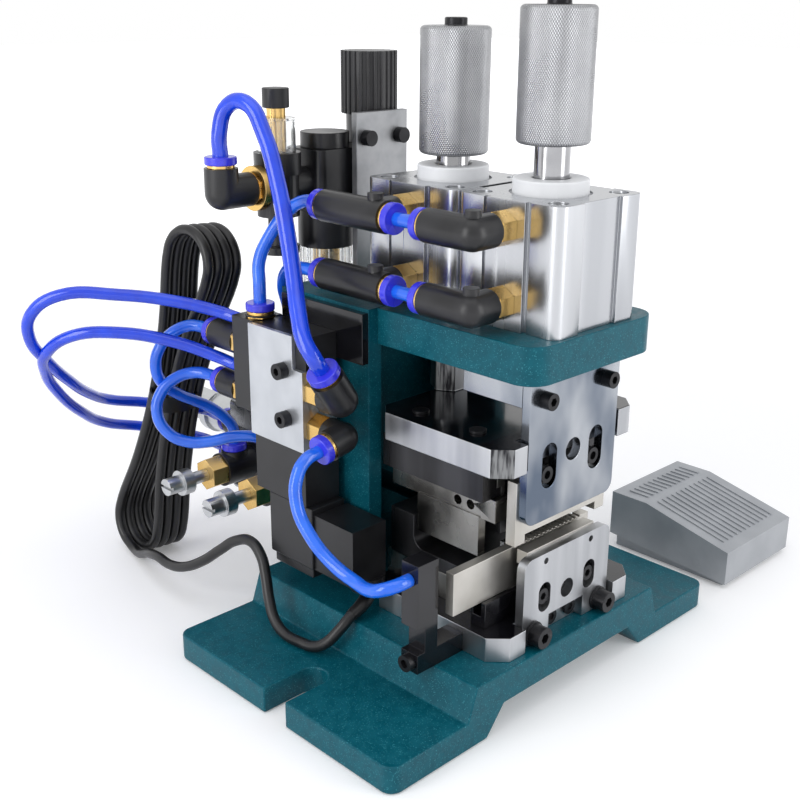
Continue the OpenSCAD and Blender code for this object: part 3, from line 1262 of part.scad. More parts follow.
module power_plug() color("black") placed() {
    from = hank_points[len(hank_points)-1];
    to = from + hank_up*mains_plug_l;
    span(from, to, mains_plug_d);
    for (s = [-1, 1]) translate(hank_layer*s*mains_pin_gap/2)
        span(to - hank_up*over, to + hank_up*mains_pin_l, mains_pin_d);
}

base_casting();
column();
arm_plate();
bolster_plate();
press_cylinders();
bumper_discs();
lower_front_plate();
lower_jaw();
jaw_support();
slide_rails();
blow_post();
strip_cylinder();
stroke_adjuster();
valve_body();
valve_ends();
valve_coil();
valve_plug();
valve_bracket();
air_unit_body();
clear_bowls();
air_unit_guards();
air_unit_bracket();
brass_fittings();
elbow_fittings();
release_rings();
black_screws();
bright_bolts();
pedal_base();
pedal_switch();
pedal_treadle();
clamp_rod();
clamp_block();
upper_front_plate();
upper_jaw();
clamp_screws();
clamp_knob();
ram_rod();
ram_plate();
ram_guides();
ram_screws();
ram_knob();
upper_slides();
upper_blade();
upper_twist_bar();
carriage();
strip_rod();
lower_blade();
lower_twist_bar();
regulator_knob();
oil_knob();
speed_screw_rear();
speed_screw_front();
supply_hose();
tee_hoses();
blow_hose();
valve_hoses();
speed_hoses();
power_lead();
cord_hank();
power_plug();
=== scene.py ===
import json
import math
import bpy
import bmesh
from mathutils import Matrix, Vector


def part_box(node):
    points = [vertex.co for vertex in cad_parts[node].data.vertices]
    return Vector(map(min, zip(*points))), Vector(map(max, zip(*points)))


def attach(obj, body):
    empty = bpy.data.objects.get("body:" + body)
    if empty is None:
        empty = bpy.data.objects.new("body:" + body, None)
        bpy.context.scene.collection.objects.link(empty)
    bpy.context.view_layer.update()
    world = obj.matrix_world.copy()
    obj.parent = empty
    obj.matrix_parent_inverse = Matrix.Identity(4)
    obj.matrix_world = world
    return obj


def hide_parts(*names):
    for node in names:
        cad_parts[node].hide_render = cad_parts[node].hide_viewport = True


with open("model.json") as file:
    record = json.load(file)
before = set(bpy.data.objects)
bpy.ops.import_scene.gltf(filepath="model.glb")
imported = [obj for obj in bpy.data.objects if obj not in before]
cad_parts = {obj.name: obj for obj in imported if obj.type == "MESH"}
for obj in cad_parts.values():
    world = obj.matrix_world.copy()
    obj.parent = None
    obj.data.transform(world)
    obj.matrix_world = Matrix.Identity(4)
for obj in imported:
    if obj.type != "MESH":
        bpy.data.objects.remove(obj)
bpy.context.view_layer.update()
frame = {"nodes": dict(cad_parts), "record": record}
nodes = frame["nodes"]
record = frame["record"]
bodyOf = {n: b for b, group in record["behaviour"]["bodies"].items() for n in group}
slotOf = {s["node"]: s["material_slot"] for s in record["subparts"]}
print("frame loaded")

# camera at the photograph's viewing angle
cameraSet = {
    "place": (-0.5611, -0.5591, 0.4003),
    "azimuth": -44.3997,
    "elevation": 19.3315,
    "roll": 0.3306,
    "lens": 52.4,
    "sensor": 36,
    "nearest": 0.02,
}
cameraData = bpy.data.cameras.new("camera")
cameraData.lens = cameraSet["lens"]
cameraData.sensor_width = cameraSet["sensor"]
cameraData.clip_start = cameraSet["nearest"]
camera = bpy.data.objects.new("camera", cameraData)
turn = Matrix.Rotation(math.radians(cameraSet["azimuth"]), 4, "Z")
tilt = Matrix.Rotation(math.radians(90 - cameraSet["elevation"]), 4, "X")
roll = Matrix.Rotation(math.radians(cameraSet["roll"]), 4, "Z")
camera.matrix_world = Matrix.Translation(cameraSet["place"]) @ turn @ tilt @ roll
bpy.context.scene.collection.objects.link(camera)
bpy.context.scene.camera = camera


# shader groups shared by the finishes
def addSockets(group, inputs, outputs):
    for name, kind, value in inputs:
        socket = group.interface.new_socket(name, in_out="INPUT", socket_type=kind)
        socket.default_value = value
    for name, kind in outputs:
        group.interface.new_socket(name, in_out="OUTPUT", socket_type=kind)


def buildDriftGroup():  # a soft change of tone between two colours, and a mask of it
    group = bpy.data.node_groups.new("toneDrift", "ShaderNodeTree")
    addSockets(
        group,
        [
            ("Vector", "NodeSocketVector", (0, 0, 0)),
            ("Scale", "NodeSocketFloat", 40.0),
            ("Low", "NodeSocketFloat", 0.35),
            ("High", "NodeSocketFloat", 0.65),
            ("Tone A", "NodeSocketColor", (0.5, 0.5, 0.5, 1)),
            ("Tone B", "NodeSocketColor", (0.6, 0.6, 0.6, 1)),
        ],
        [("Tone", "NodeSocketColor"), ("Mask", "NodeSocketFloat")],
    )
    tree, link = group.nodes, group.links
    gin, gout = tree.new("NodeGroupInput"), tree.new("NodeGroupOutput")
    noise = tree.new("ShaderNodeTexNoise")
    noise.inputs["Detail"].default_value = 3
    spread = tree.new("ShaderNodeMapRange")
    mix = tree.new("ShaderNodeMix")
    mix.data_type = "RGBA"
    link.new(gin.outputs["Vector"], noise.inputs["Vector"])
    link.new(gin.outputs["Scale"], noise.inputs["Scale"])
    link.new(noise.outputs["Fac"], spread.inputs["Value"])
    link.new(gin.outputs["Low"], spread.inputs["From Min"])
    link.new(gin.outputs["High"], spread.inputs["From Max"])
    link.new(spread.outputs["Result"], mix.inputs["Factor"])
    link.new(gin.outputs["Tone A"], mix.inputs["A"])
    link.new(gin.outputs["Tone B"], mix.inputs["B"])
    link.new(mix.outputs["Result"], gout.inputs["Tone"])
    link.new(spread.outputs["Result"], gout.inputs["Mask"])
    return group


def buildGrainGroup():  # height of a fine grain, stretched for brushed or ground faces
    group = bpy.data.node_groups.new("surfaceGrain", "ShaderNodeTree")
    addSockets(
        group,
        [
            ("Vector", "NodeSocketVector", (0, 0, 0)),
            ("Fine", "NodeSocketFloat", 900.0),
            ("Coarse", "NodeSocketFloat", 150.0),
            ("Coarse Share", "NodeSocketFloat", 0.3),
        ],
        [("Height", "NodeSocketFloat")],
    )
    tree, link = group.nodes, group.links
    gin, gout = tree.new("NodeGroupInput"), tree.new("NodeGroupOutput")
    fine, coarse = tree.new("ShaderNodeTexNoise"), tree.new("ShaderNodeTexNoise")
    mix = tree.new("ShaderNodeMix")
    for noise, name in ((fine, "Fine"), (coarse, "Coarse")):
        noise.inputs["Detail"].default_value = 2
        link.new(gin.outputs["Vector"], noise.inputs["Vector"])
        link.new(gin.outputs[name], noise.inputs["Scale"])
    link.new(gin.outputs["Coarse Share"], mix.inputs["Factor"])
    link.new(fine.outputs["Fac"], mix.inputs["A"])
    link.new(coarse.outputs["Fac"], mix.inputs["B"])
    link.new(mix.outputs["Result"], gout.inputs["Height"])
    return group


driftGroup, grainGroup = buildDriftGroup(), buildGrainGroup()


def makeFinish(name, toneA, toneB, **own):
    want = {
        "metallic": 0.0, "rough": (0.4, 0.5), "scale": 40, "spread": (0.35, 0.65), "fine": 900, "coarse": 150,
        "coarseShare": 0.3, "bump": 0.1, "depth": 0.0002, "stretch": (1, 1, 1), "coat": 0.0, "clear": 0.0,
        "specular": 0.5, "coatRough": 0.08, "ior": 1.45,
    }
    want.update(own)
    material = bpy.data.materials.new(name)
    material.use_nodes = True
    tree, link = material.node_tree.nodes, material.node_tree.links
    shader = tree["Principled BSDF"]
    coords, mapping = tree.new("ShaderNodeTexCoord"), tree.new("ShaderNodeMapping")
    mapping.inputs["Scale"].default_value = want["stretch"]
    link.new(coords.outputs["Object"], mapping.inputs["Vector"])
    drift = tree.new("ShaderNodeGroup")
    drift.node_tree = driftGroup
    link.new(mapping.outputs["Vector"], drift.inputs["Vector"])
    drift.inputs["Scale"].default_value = want["scale"]
    drift.inputs["Low"].default_value, drift.inputs["High"].default_value = want["spread"]
    drift.inputs["Tone A"].default_value = (*toneA, 1)
    drift.inputs["Tone B"].default_value = (*toneB, 1)
    link.new(drift.outputs["Tone"], shader.inputs["Base Color"])
    rough = tree.new("ShaderNodeMapRange")
    rough.inputs["To Min"].default_value, rough.inputs["To Max"].default_value = want["rough"]
    link.new(drift.outputs["Mask"], rough.inputs["Value"])
    link.new(rough.outputs["Result"], shader.inputs["Roughness"])
    grain = tree.new("ShaderNodeGroup")
    grain.node_tree = grainGroup
    link.new(mapping.outputs["Vector"], grain.inputs["Vector"])
    grain.inputs["Fine"].default_value = want["fine"]
    grain.inputs["Coarse"].default_value = want["coarse"]
    grain.inputs["Coarse Share"].default_value = want["coarseShare"]
    bump = tree.new("ShaderNodeBump")
    bump.name = "grainBump"
    bump.inputs["Strength"].default_value = want["bump"]
    bump.inputs["Distance"].default_value = want["depth"]
    link.new(grain.outputs["Height"], bump.inputs["Height"])
    link.new(bump.outputs["Normal"], shader.inputs["Normal"])
    shader.inputs["Metallic"].default_value = want["metallic"]
    shader.inputs["Coat Weight"].default_value = want["coat"]
    shader.inputs["Coat Roughness"].default_value = want["coatRough"]
    shader.inputs["Transmission Weight"].default_value = want["clear"]
    shader.inputs["Specular IOR Level"].default_value = want["specular"]
    shader.inputs["IOR"].default_value = want["ior"]
    return material


def addFlecks(material, size, share, tone):  # small bright flakes in a paint
    tree, link = material.node_tree.nodes, material.node_tree.links
    shader = tree["Principled BSDF"]
    coords = tree.new("ShaderNodeTexCoord")
    cells = tree.new("ShaderNodeTexVoronoi")
    cells.inputs["Scale"].default_value = 1 / size
    pick = tree.new("ShaderNodeMapRange")
    pick.inputs["From Min"].default_value = 1 - share
    pick.inputs["From Max"].default_value = 1 - share * 0.5
    split = tree.new("ShaderNodeSeparateColor")
    mix = tree.new("ShaderNodeMix")
    mix.data_type = "RGBA"
    mix.inputs["B"].default_value = (*tone, 1)
    link.new(coords.outputs["Object"], cells.inputs["Vector"])
    link.new(cells.outputs["Color"], split.inputs["Color"])
    link.new(split.outputs["Red"], pick.inputs["Value"])
    link.new(pick.outputs["Result"], mix.inputs["Factor"])
    link.new(shader.inputs["Base Color"].links[0].from_socket, mix.inputs["A"])
    link.new(mix.outputs["Result"], shader.inputs["Base Color"])


# the knurl's groove tone and its sharpness set a painted shade laid into the grooves
knurlSet = {
    "turns": 46, "pitch": 0.0046, "strength": 0.5, "depth": 0.0004, "paintedGrooveShade": (0.32, 0.32, 0.33, 1),
    "grooveShadeSharpness": 6.0,
}


# the knurl also darkens the base colour in its grooves with painted shade
def addKnurl(material, centre):  # crossed helical ridges round an upright axis
    tree, link = material.node_tree.nodes, material.node_tree.links
    coords, mapping = tree.new("ShaderNodeTexCoord"), tree.new("ShaderNodeMapping")
    mapping.inputs["Location"].default_value = (-centre[0], -centre[1], 0)
    parts = tree.new("ShaderNodeSeparateXYZ")
    link.new(coords.outputs["Object"], mapping.inputs["Vector"])
    link.new(mapping.outputs["Vector"], parts.inputs["Vector"])

    def mathNode(kind, a, b=0.0):
        node = tree.new("ShaderNodeMath")
        node.operation = kind
        for socket, value in zip(node.inputs, (a, b)):
            if isinstance(value, (int, float)):
                socket.default_value = value
            else:
                link.new(value, socket)
        return node.outputs["Value"]

    angle = mathNode("MULTIPLY", mathNode("ARCTAN2", parts.outputs["Y"], parts.outputs["X"]), knurlSet["turns"])
    climb = mathNode("MULTIPLY", parts.outputs["Z"], 2 * math.pi / knurlSet["pitch"])
    left = mathNode("ABSOLUTE", mathNode("SINE", mathNode("ADD", angle, climb)))
    right = mathNode("ABSOLUTE", mathNode("SINE", mathNode("SUBTRACT", angle, climb)))
    height = mathNode("MULTIPLY", left, right)
    shader = tree["Principled BSDF"]
    # painted shade: the base colour is darkened down in the knurl's grooves
    shade = tree.new("ShaderNodeMix")
    shade.data_type, shade.blend_type = "RGBA", "MULTIPLY"
    shade.inputs["B"].default_value = knurlSet["paintedGrooveShade"]
    link.new(mathNode("POWER", mathNode("SUBTRACT", 1.0, height), knurlSet["grooveShadeSharpness"]), shade.inputs["Factor"])
    link.new(shader.inputs["Base Color"].links[0].from_socket, shade.inputs["A"])
    link.new(shade.outputs["Result"], shader.inputs["Base Color"])
    bump = tree.new("ShaderNodeBump")
    bump.inputs["Strength"].default_value = knurlSet["strength"]
    bump.inputs["Distance"].default_value = knurlSet["depth"]
    link.new(height, bump.inputs["Height"])
    link.new(tree["grainBump"].outputs["Normal"], bump.inputs["Normal"])
    link.new(bump.outputs["Normal"], shader.inputs["Normal"])


teal = makeFinish("hammeredTeal", (0.001, 0.074, 0.104), (0.003, 0.094, 0.128), rough=(0.3, 0.42), scale=160,
                  fine=620, coarse=260, coarseShare=0.5, bump=0.45, depth=0.0003, specular=0.22)
addFlecks(teal, 0.00045, 0.06, (0.03, 0.2, 0.245))
finishes = {
    "teal_paint": teal,
    "black_oxide": makeFinish("blackOxide", (0.012, 0.012, 0.014), (0.03, 0.03, 0.033), metallic=0.6,
                              rough=(0.28, 0.42), bump=0.08),
    "cylinder_alloy": makeFinish("anodisedAlloy", (0.4, 0.41, 0.43), (0.5, 0.51, 0.53), metallic=1,
                                 rough=(0.2, 0.3), stretch=(1, 1, 0.03), fine=2400, coarse=500, bump=0.12),
    "cast_alloy": makeFinish("castAlloy", (0.4, 0.41, 0.42), (0.5, 0.51, 0.52), metallic=1, rough=(0.3, 0.42)),
    "rod_chrome": makeFinish("rodChrome", (0.3, 0.3, 0.31), (0.38, 0.38, 0.39), metallic=1, rough=(0.1, 0.16),
                             bump=0.02),
    "tool_steel": makeFinish("groundSteel", (0.24, 0.235, 0.225), (0.36, 0.355, 0.34), metallic=1, rough=(0.2, 0.34),
                             scale=26, spread=(0.4, 0.6), stretch=(0.12, 1, 1), fine=3000, coarse=300, bump=0.12),
    "zinc_steel": makeFinish("zincSteel", (0.46, 0.47, 0.48), (0.58, 0.59, 0.6), metallic=1, rough=(0.25, 0.38),
                             bump=0.06),
    "black_steel": makeFinish("blackedSteel", (0.006, 0.006, 0.008), (0.016, 0.016, 0.02), metallic=0.55,
                              rough=(0.1, 0.22), scale=30, coat=0.5, bump=0.05),
    "brass": makeFinish("turnedBrass", (0.66, 0.42, 0.13), (0.78, 0.53, 0.2), metallic=1, rough=(0.2, 0.32),
                        bump=0.05),
    "black_plastic": makeFinish("blackPlastic", (0.008, 0.008, 0.009), (0.016, 0.016, 0.018), rough=(0.28, 0.4),
                                fine=1500, bump=0.12),
    "ring_plastic": makeFinish("ringPlastic", (0.03, 0.03, 0.62), (0.045, 0.05, 0.75), rough=(0.22, 0.3),
                               bump=0.03, coat=0.3),
    "hose_dark": makeFinish("deepBlueHose", (0.002, 0.04, 0.6), (0.004, 0.062, 0.75), rough=(0.1, 0.16), scale=60,
                            bump=0.03, coat=0.5),
    "hose_light": makeFinish("brightBlueHose", (0.008, 0.11, 0.7), (0.015, 0.15, 0.82), rough=(0.1, 0.16), scale=60,
                             bump=0.03, coat=0.5),
    "clear_bowl": makeFinish("clearBowl", (0.93, 0.95, 0.95), (0.97, 0.98, 0.98), rough=(0.03, 0.08), clear=0.9,
                             bump=0.02, ior=1.5),
    "white_face": makeFinish("valveFace", (0.48, 0.5, 0.53), (0.56, 0.58, 0.61), metallic=0.85, rough=(0.3, 0.38),
                             fine=1200, bump=0.08),
    "grey_paint": makeFinish("greyPaint", (0.33, 0.345, 0.365), (0.39, 0.405, 0.425), metallic=0.15,
                             rough=(0.38, 0.48), fine=900, bump=0.1),
    "nylon": makeFinish("whiteNylon", (0.74, 0.75, 0.76), (0.8, 0.81, 0.82), rough=(0.4, 0.5), bump=0.04),
    "lead_black": makeFinish("leadSheath", (0.008, 0.008, 0.009), (0.014, 0.014, 0.015), rough=(0.3, 0.42),
                             bump=0.05),
}
# painted reflection: the polished steel drifts in broad patches between a dark bluish tone and a pale one, standing
# in for dark surroundings mirrored in it
finishes["polished_steel"] = makeFinish(
    "polishedSteelPaintedReflection", (0.12, 0.15, 0.2), (0.42, 0.44, 0.47), metallic=1, rough=(0.12, 0.26), scale=22,
    spread=(0.38, 0.62), stretch=(1, 1, 0.5), fine=2600, coarse=200, bump=0.1)
finishes["bright_edge"] = makeFinish(
    "machinedEdge", (0.4, 0.41, 0.43), (0.54, 0.55, 0.57), metallic=1, rough=(0.3, 0.44), scale=60,
    stretch=(1, 1, 0.1), fine=2600, coarse=400, bump=0.2)
finishes["sawn_corner"] = makeFinish(
    "sawnCorner", (0.03, 0.03, 0.034), (0.24, 0.245, 0.25), metallic=0.9, rough=(0.3, 0.45), scale=420,
    spread=(0.42, 0.58), stretch=(1, 1, 0.12), fine=2600, coarse=700, bump=0.35)
finishes["nickel"] = makeFinish(
    "nickelPlate", (0.5, 0.48, 0.44), (0.62, 0.6, 0.56), metallic=0.9, rough=(0.3, 0.42), scale=40,
    fine=2200, coarse=300, bump=0.12)
finishes["cast_grey"] = makeFinish(
    "castGrey", (0.22, 0.225, 0.235), (0.3, 0.305, 0.315), metallic=0.9, rough=(0.36, 0.5), scale=70,
    fine=1400, coarse=260, bump=0.25)
finishes["dark_steel"] = makeFinish(
    "darkSteel", (0.03, 0.03, 0.032), (0.07, 0.07, 0.075), metallic=0.85, rough=(0.26, 0.4), scale=50,
    stretch=(1, 1, 0.1), fine=2200, coarse=400, bump=0.15)
for name, item in nodes.items():
    for place in item.material_slots:
        place.material = finishes[slotOf[name]]
print("finishes made")

# hoses and the mains lead: centrelines in the row frame
hoseSet = {"supplyDiameter": 0.01, "diameter": 0.008, "leadDiameter": 0.007, "sides": 4, "steps": 6}
supplyRoute = [
    (-0.1415, 0.0255, 0.306), (-0.1415, 0.0255, 0.32), (-0.1385, 0.0195, 0.336), (-0.1355, 0.0055, 0.338),
    (-0.1345, -0.0085, 0.322), (-0.1365, -0.0225, 0.296), (-0.1415, -0.0365, 0.268), (-0.1485, -0.0505, 0.244),
    (-0.1555, -0.0625, 0.226), (-0.1592, -0.0715, 0.214), (-0.158, -0.078, 0.2053), (-0.1525, -0.078, 0.197),
]
teeHighRoute = [
    (-0.1165, -0.0345, 0.282), (-0.1165, -0.0225, 0.282), (-0.1185, -0.0085, 0.274), (-0.1245, 0.0005, 0.26),
    (-0.1325, 0.0025, 0.244), (-0.1345, 0.0005, 0.231), (-0.1345, 0.0005, 0.219),
]
teeLowRoute = [
    (-0.1165, -0.0345, 0.241), (-0.1165, -0.0225, 0.241), (-0.1145, -0.0045, 0.238), (-0.1105, 0.0075, 0.225),
    (-0.1045, 0.0105, 0.208), (-0.1025, 0.0105, 0.19), (-0.1045, 0.0075, 0.176), (-0.1115, 0.0055, 0.168),
    (-0.1213, 0.0055, 0.168),
]
linkHighRoute = [
    (-0.1165, -0.1185, 0.282), (-0.1165, -0.1015, 0.282),
]
linkLowRoute = [
    (-0.1165, -0.1185, 0.241), (-0.1165, -0.1015, 0.241),
]
blowRoute = [
    (-0.1555, -0.078, 0.148), (-0.1653, -0.078, 0.1458), (-0.1725, -0.0785, 0.138), (-0.1765, -0.0825, 0.122),
    (-0.1765, -0.0935, 0.107), (-0.1735, -0.1085, 0.094), (-0.1715, -0.1265, 0.088), (-0.1735, -0.1405, 0.089),
    (-0.1725, -0.1505, 0.093), (-0.1655, -0.155, 0.095), (-0.1573, -0.155, 0.095),
]
valveHighRoute = [
    (-0.1345, 0.0158, 0.204), (-0.1345, 0.0255, 0.204), (-0.1405, 0.0375, 0.207), (-0.1585, 0.0555, 0.213),
    (-0.1885, 0.0755, 0.219), (-0.2165, 0.0995, 0.219), (-0.2285, 0.1155, 0.206), (-0.2265, 0.1255, 0.188),
    (-0.2105, 0.1355, 0.166), (-0.1885, 0.1495, 0.144), (-0.1665, 0.1655, 0.126), (-0.1425, 0.1775, 0.112),
    (-0.1125, 0.1755, 0.103), (-0.0905, 0.1595, 0.098), (-0.0805, 0.1435, 0.097), (-0.0805, 0.1315, 0.097),
    (-0.0805, 0.1175, 0.097),
]
valveLowRoute = [
    (-0.1345, 0.0158, 0.172), (-0.1345, 0.0255, 0.172), (-0.1405, 0.0395, 0.176), (-0.1605, 0.0595, 0.186),
    (-0.1885, 0.0815, 0.193), (-0.2085, 0.1035, 0.19), (-0.2165, 0.1235, 0.176), (-0.2085, 0.1435, 0.156),
    (-0.1925, 0.1595, 0.134), (-0.1685, 0.1755, 0.11), (-0.1405, 0.1895, 0.09), (-0.1085, 0.1875, 0.079),
    (-0.0885, 0.1675, 0.074), (-0.0805, 0.1465, 0.073), (-0.0805, 0.1335, 0.073), (-0.0805, 0.1175, 0.073),
]
speedHighRoute = [
    (-0.1345, 0.0535, 0.19), (-0.1345, 0.0635, 0.19), (-0.1395, 0.0725, 0.19), (-0.1485, 0.0795, 0.185),
    (-0.1555, 0.0845, 0.175), (-0.1575, 0.0875, 0.162), (-0.1525, 0.0885, 0.149), (-0.1415, 0.0875, 0.139),
    (-0.1285, 0.0875, 0.131), (-0.1175, 0.0835, 0.124), (-0.1085, 0.0795, 0.115), (-0.1035, 0.0775, 0.106),
    (-0.1035, 0.0775, 0.096),
]
speedLowRoute = [
    (-0.1345, 0.0465, 0.158), (-0.1345, 0.0585, 0.158), (-0.1395, 0.0695, 0.158), (-0.1495, 0.0775, 0.154),
    (-0.1585, 0.0815, 0.145), (-0.1625, 0.0815, 0.132), (-0.1595, 0.0755, 0.119), (-0.1505, 0.0665, 0.112),
    (-0.1385, 0.0555, 0.112), (-0.1255, 0.0455, 0.115), (-0.1135, 0.0355, 0.114), (-0.1035, 0.0295, 0.108),
    (-0.1035, 0.0295, 0.096),
]
leadRoute = [
    (-0.1275, -0.0885, 0.051), (-0.1275, -0.0885, 0.048), (-0.1345, -0.0915, 0.0455), (-0.1445, -0.0925, 0.042),
    (-0.1535, -0.0905, 0.034), (-0.1595, -0.0855, 0.026), (-0.1625, -0.0775, 0.0215), (-0.1645, -0.0665, 0.0208),
    (-0.1655, -0.0545, 0.0212), (-0.1645, -0.0425, 0.026), (-0.1615, -0.0335, 0.036), (-0.1575, -0.0255, 0.048),
    (-0.1545, -0.0175, 0.058), (-0.1535, -0.0055, 0.064), (-0.1555, 0.0085, 0.06), (-0.1585, 0.0215, 0.05),
    (-0.1625, 0.0375, 0.037), (-0.1655, 0.0555, 0.027), (-0.1655, 0.0735, 0.022), (-0.1635, 0.0915, 0.0208),
    (-0.1605, 0.1075, 0.0165), (-0.1565, 0.1225, 0.0095), (-0.154, 0.1335, 0.0052),
]

hankSet = {
    "foot": (-0.1365, 0.1495, 0.0058),
    "head": (-0.1185, 0.0755, 0.25),
    "foldWidth": 0.042,
    "waistShare": 0.35,
    "pitch": 0.0076,
    "loops": 4,
    "steps": 24,
    "arcSteps": 8,
    "first": 24,
    "last": 24,
    "tail": [(0.008, 0.016, 0.1), (0.021, 0.022, 0.25), (0.05, 0.026, 0.3), (0.084, 0.026, 0.3)],
}


def hankPoints():  # a fold, a run drawn in at the waist, a fold, and the run back
    foot, head = Vector(hankSet["foot"]), Vector(hankSet["head"])
    length = (head - foot).length
    up = (head - foot).normalized()
    side = Vector((1, 0, 0)).cross(up).normalized()
    layer = up.cross(side).normalized()
    steps, arcSteps, radius = hankSet["steps"], hankSet["arcSteps"], hankSet["foldWidth"] / 2
    end = hankSet["loops"] * steps + hankSet["last"]
    middle = (hankSet["first"] + end) / steps / 2
    points = []
    for i in range(hankSet["first"], end + 1):
        m = (i + arcSteps // 2) % steps
        back, j = m >= steps // 2, m % (steps // 2)
        if j <= arcSteps:
            a = math.pi * j / arcSteps - math.pi / 2
            rise, wide = radius * (1 - math.cos(a)), radius * math.sin(a)
        else:
            t = (j - arcSteps) / (steps / 2 - arcSteps)
            rise = radius + (length - 2 * radius) * t
            wide = radius * (1 - (1 - hankSet["waistShare"]) * math.sin(math.pi * t))
        if back:
            rise, wide = length - rise, -wide
        points.append(foot + up * rise - side * wide + layer * (i / steps - middle) * hankSet["pitch"])
    for rise, wide, shift in hankSet["tail"]:
        points.append(foot + up * rise - side * wide + layer * (end / steps - middle + shift) * hankSet["pitch"])
    return points


def cordLine(name, points, diameter, material, *replaced):
    line = bpy.data.curves.new(name, "CURVE")
    line.dimensions = "3D"
    line.bevel_depth = diameter / 2
    line.bevel_resolution = hoseSet["sides"]
    line.resolution_u = hoseSet["steps"]
    line.use_fill_caps = True
    spline = line.splines.new("BEZIER")
    spline.bezier_points.add(len(points) - 1)
    for knot, point in zip(spline.bezier_points, points):
        knot.co = point
        knot.handle_left_type = knot.handle_right_type = "AUTO"
    piece = bpy.data.objects.new(name, line)
    bpy.context.scene.collection.objects.link(piece)
    line.materials.append(material)
    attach(piece, "frame")
    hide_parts(*replaced)
    return piece, spline.calc_length()


def declareHose(name, points, finish, node, diameter=hoseSet["diameter"]):
    piece, length = cordLine(name, points, diameter, finishes[finish], node)


declareHose("supplyHose", supplyRoute, "hose_dark", "supply_hose", hoseSet["supplyDiameter"])
declareHose("upperTeeHose", teeHighRoute, "hose_light", "tee_hoses")
declareHose("lowerTeeHose", teeLowRoute, "hose_light", "tee_hoses")
cordLine("upperLinkHose", linkHighRoute, hoseSet["diameter"], finishes["hose_light"], "tee_hoses")
cordLine("lowerLinkHose", linkLowRoute, hoseSet["diameter"], finishes["hose_light"], "tee_hoses")
declareHose("blowHose", blowRoute, "hose_light", "blow_hose")
declareHose("upperValveHose", valveHighRoute, "hose_dark", "valve_hoses")
declareHose("lowerValveHose", valveLowRoute, "hose_dark", "valve_hoses")
declareHose("rearSpeedHose", speedHighRoute, "hose_light", "speed_hoses")
declareHose("frontSpeedHose", speedLowRoute, "hose_light", "speed_hoses")
leadPoints = [Vector(p) for p in leadRoute] + [Vector((-0.1522, 0.142, 0.0047))] + hankPoints()
lead, leadLength = cordLine("mainsLead", leadPoints, hoseSet["leadDiameter"], finishes["lead_black"],
                            "power_lead", "cord_hank")

# the tie round the hank's waist
tieSet = {"share": 0.5, "height": 0.012, "half": (0.0212, 0.0124), "wall": 0.0014, "segments": 40}
tieForm = bmesh.new()
bmesh.ops.create_circle(tieForm, segments=tieSet["segments"], radius=1)
bmesh.ops.scale(tieForm, verts=tieForm.verts, vec=(*tieSet["half"], 1))
rim = bmesh.ops.extrude_edge_only(tieForm, edges=tieForm.edges)
bmesh.ops.translate(tieForm, verts=[v for v in rim["geom"] if isinstance(v, bmesh.types.BMVert)],
                    vec=(0, 0, tieSet["height"]))
bmesh.ops.recalc_face_normals(tieForm, faces=tieForm.faces)
bmesh.ops.solidify(tieForm, geom=tieForm.faces, thickness=tieSet["wall"])
foot, head = Vector(hankSet["foot"]), Vector(hankSet["head"])
rise = (head - foot).normalized()
across = Vector((1, 0, 0)).cross(rise).normalized()
outward = rise.cross(across).normalized()
frameOfTie = Matrix((outward, across, rise)).transposed().to_4x4()
frameOfTie.translation = foot.lerp(head, tieSet["share"]) - rise * tieSet["height"] / 2
bmesh.ops.transform(tieForm, matrix=frameOfTie, verts=tieForm.verts)
bmesh.ops.recalc_face_normals(tieForm, faces=tieForm.faces)
tieMesh = bpy.data.meshes.new("hankTie")
tieForm.to_mesh(tieMesh)
tieForm.free()
tieMesh.shade_smooth()
tieMesh.set_sharp_from_angle(angle=math.radians(35))
tie = bpy.data.objects.new("hankTie", tieMesh)
bpy.context.scene.collection.objects.link(tie)
tieMesh.materials.append(finishes["lead_black"])
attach(tie, "frame")

# tapered sleeves where the lead leaves the valve's plug and where it enters the mains plug
sleeveSet = {"wide": 0.0056, "narrow": 0.0039, "sides": 5}


def taperSleeve(name, points, radii):
    sleeve = bpy.data.curves.new(name, "CURVE")
    sleeve.dimensions = "3D"
    sleeve.bevel_depth = 1
    sleeve.bevel_resolution = sleeveSet["sides"]
    sleeve.use_fill_caps = True
    spline = sleeve.splines.new("BEZIER")
    spline.bezier_points.add(len(points) - 1)
    for k, (knot, point) in enumerate(zip(spline.bezier_points, points)):
        knot.co = point
        knot.handle_left_type = knot.handle_right_type = "AUTO"
        knot.radius = radii[0] + (radii[1] - radii[0]) * k / (len(points) - 1)
    piece = bpy.data.objects.new(name, sleeve)
    bpy.context.scene.collection.objects.link(piece)
    sleeve.materials.append(finishes["lead_black"])
    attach(piece, "frame")
    return piece


valveSleeve = taperSleeve("valveSleeve", leadPoints[:4], (sleeveSet["wide"], sleeveSet["narrow"]))
plugSleeve = taperSleeve("plugSleeve", leadPoints[-2:], (sleeveSet["narrow"], sleeveSet["wide"]))
print("cords laid", round(leadLength, 3))


# CAD forms with their edges eased, so that they catch the light as the real ones do
easeRules = {"merge": 1e-6, "flat": 0.5, "sharp": 32, "bevelFrom": 40, "segments": 2, "sideTilt": 0.3}


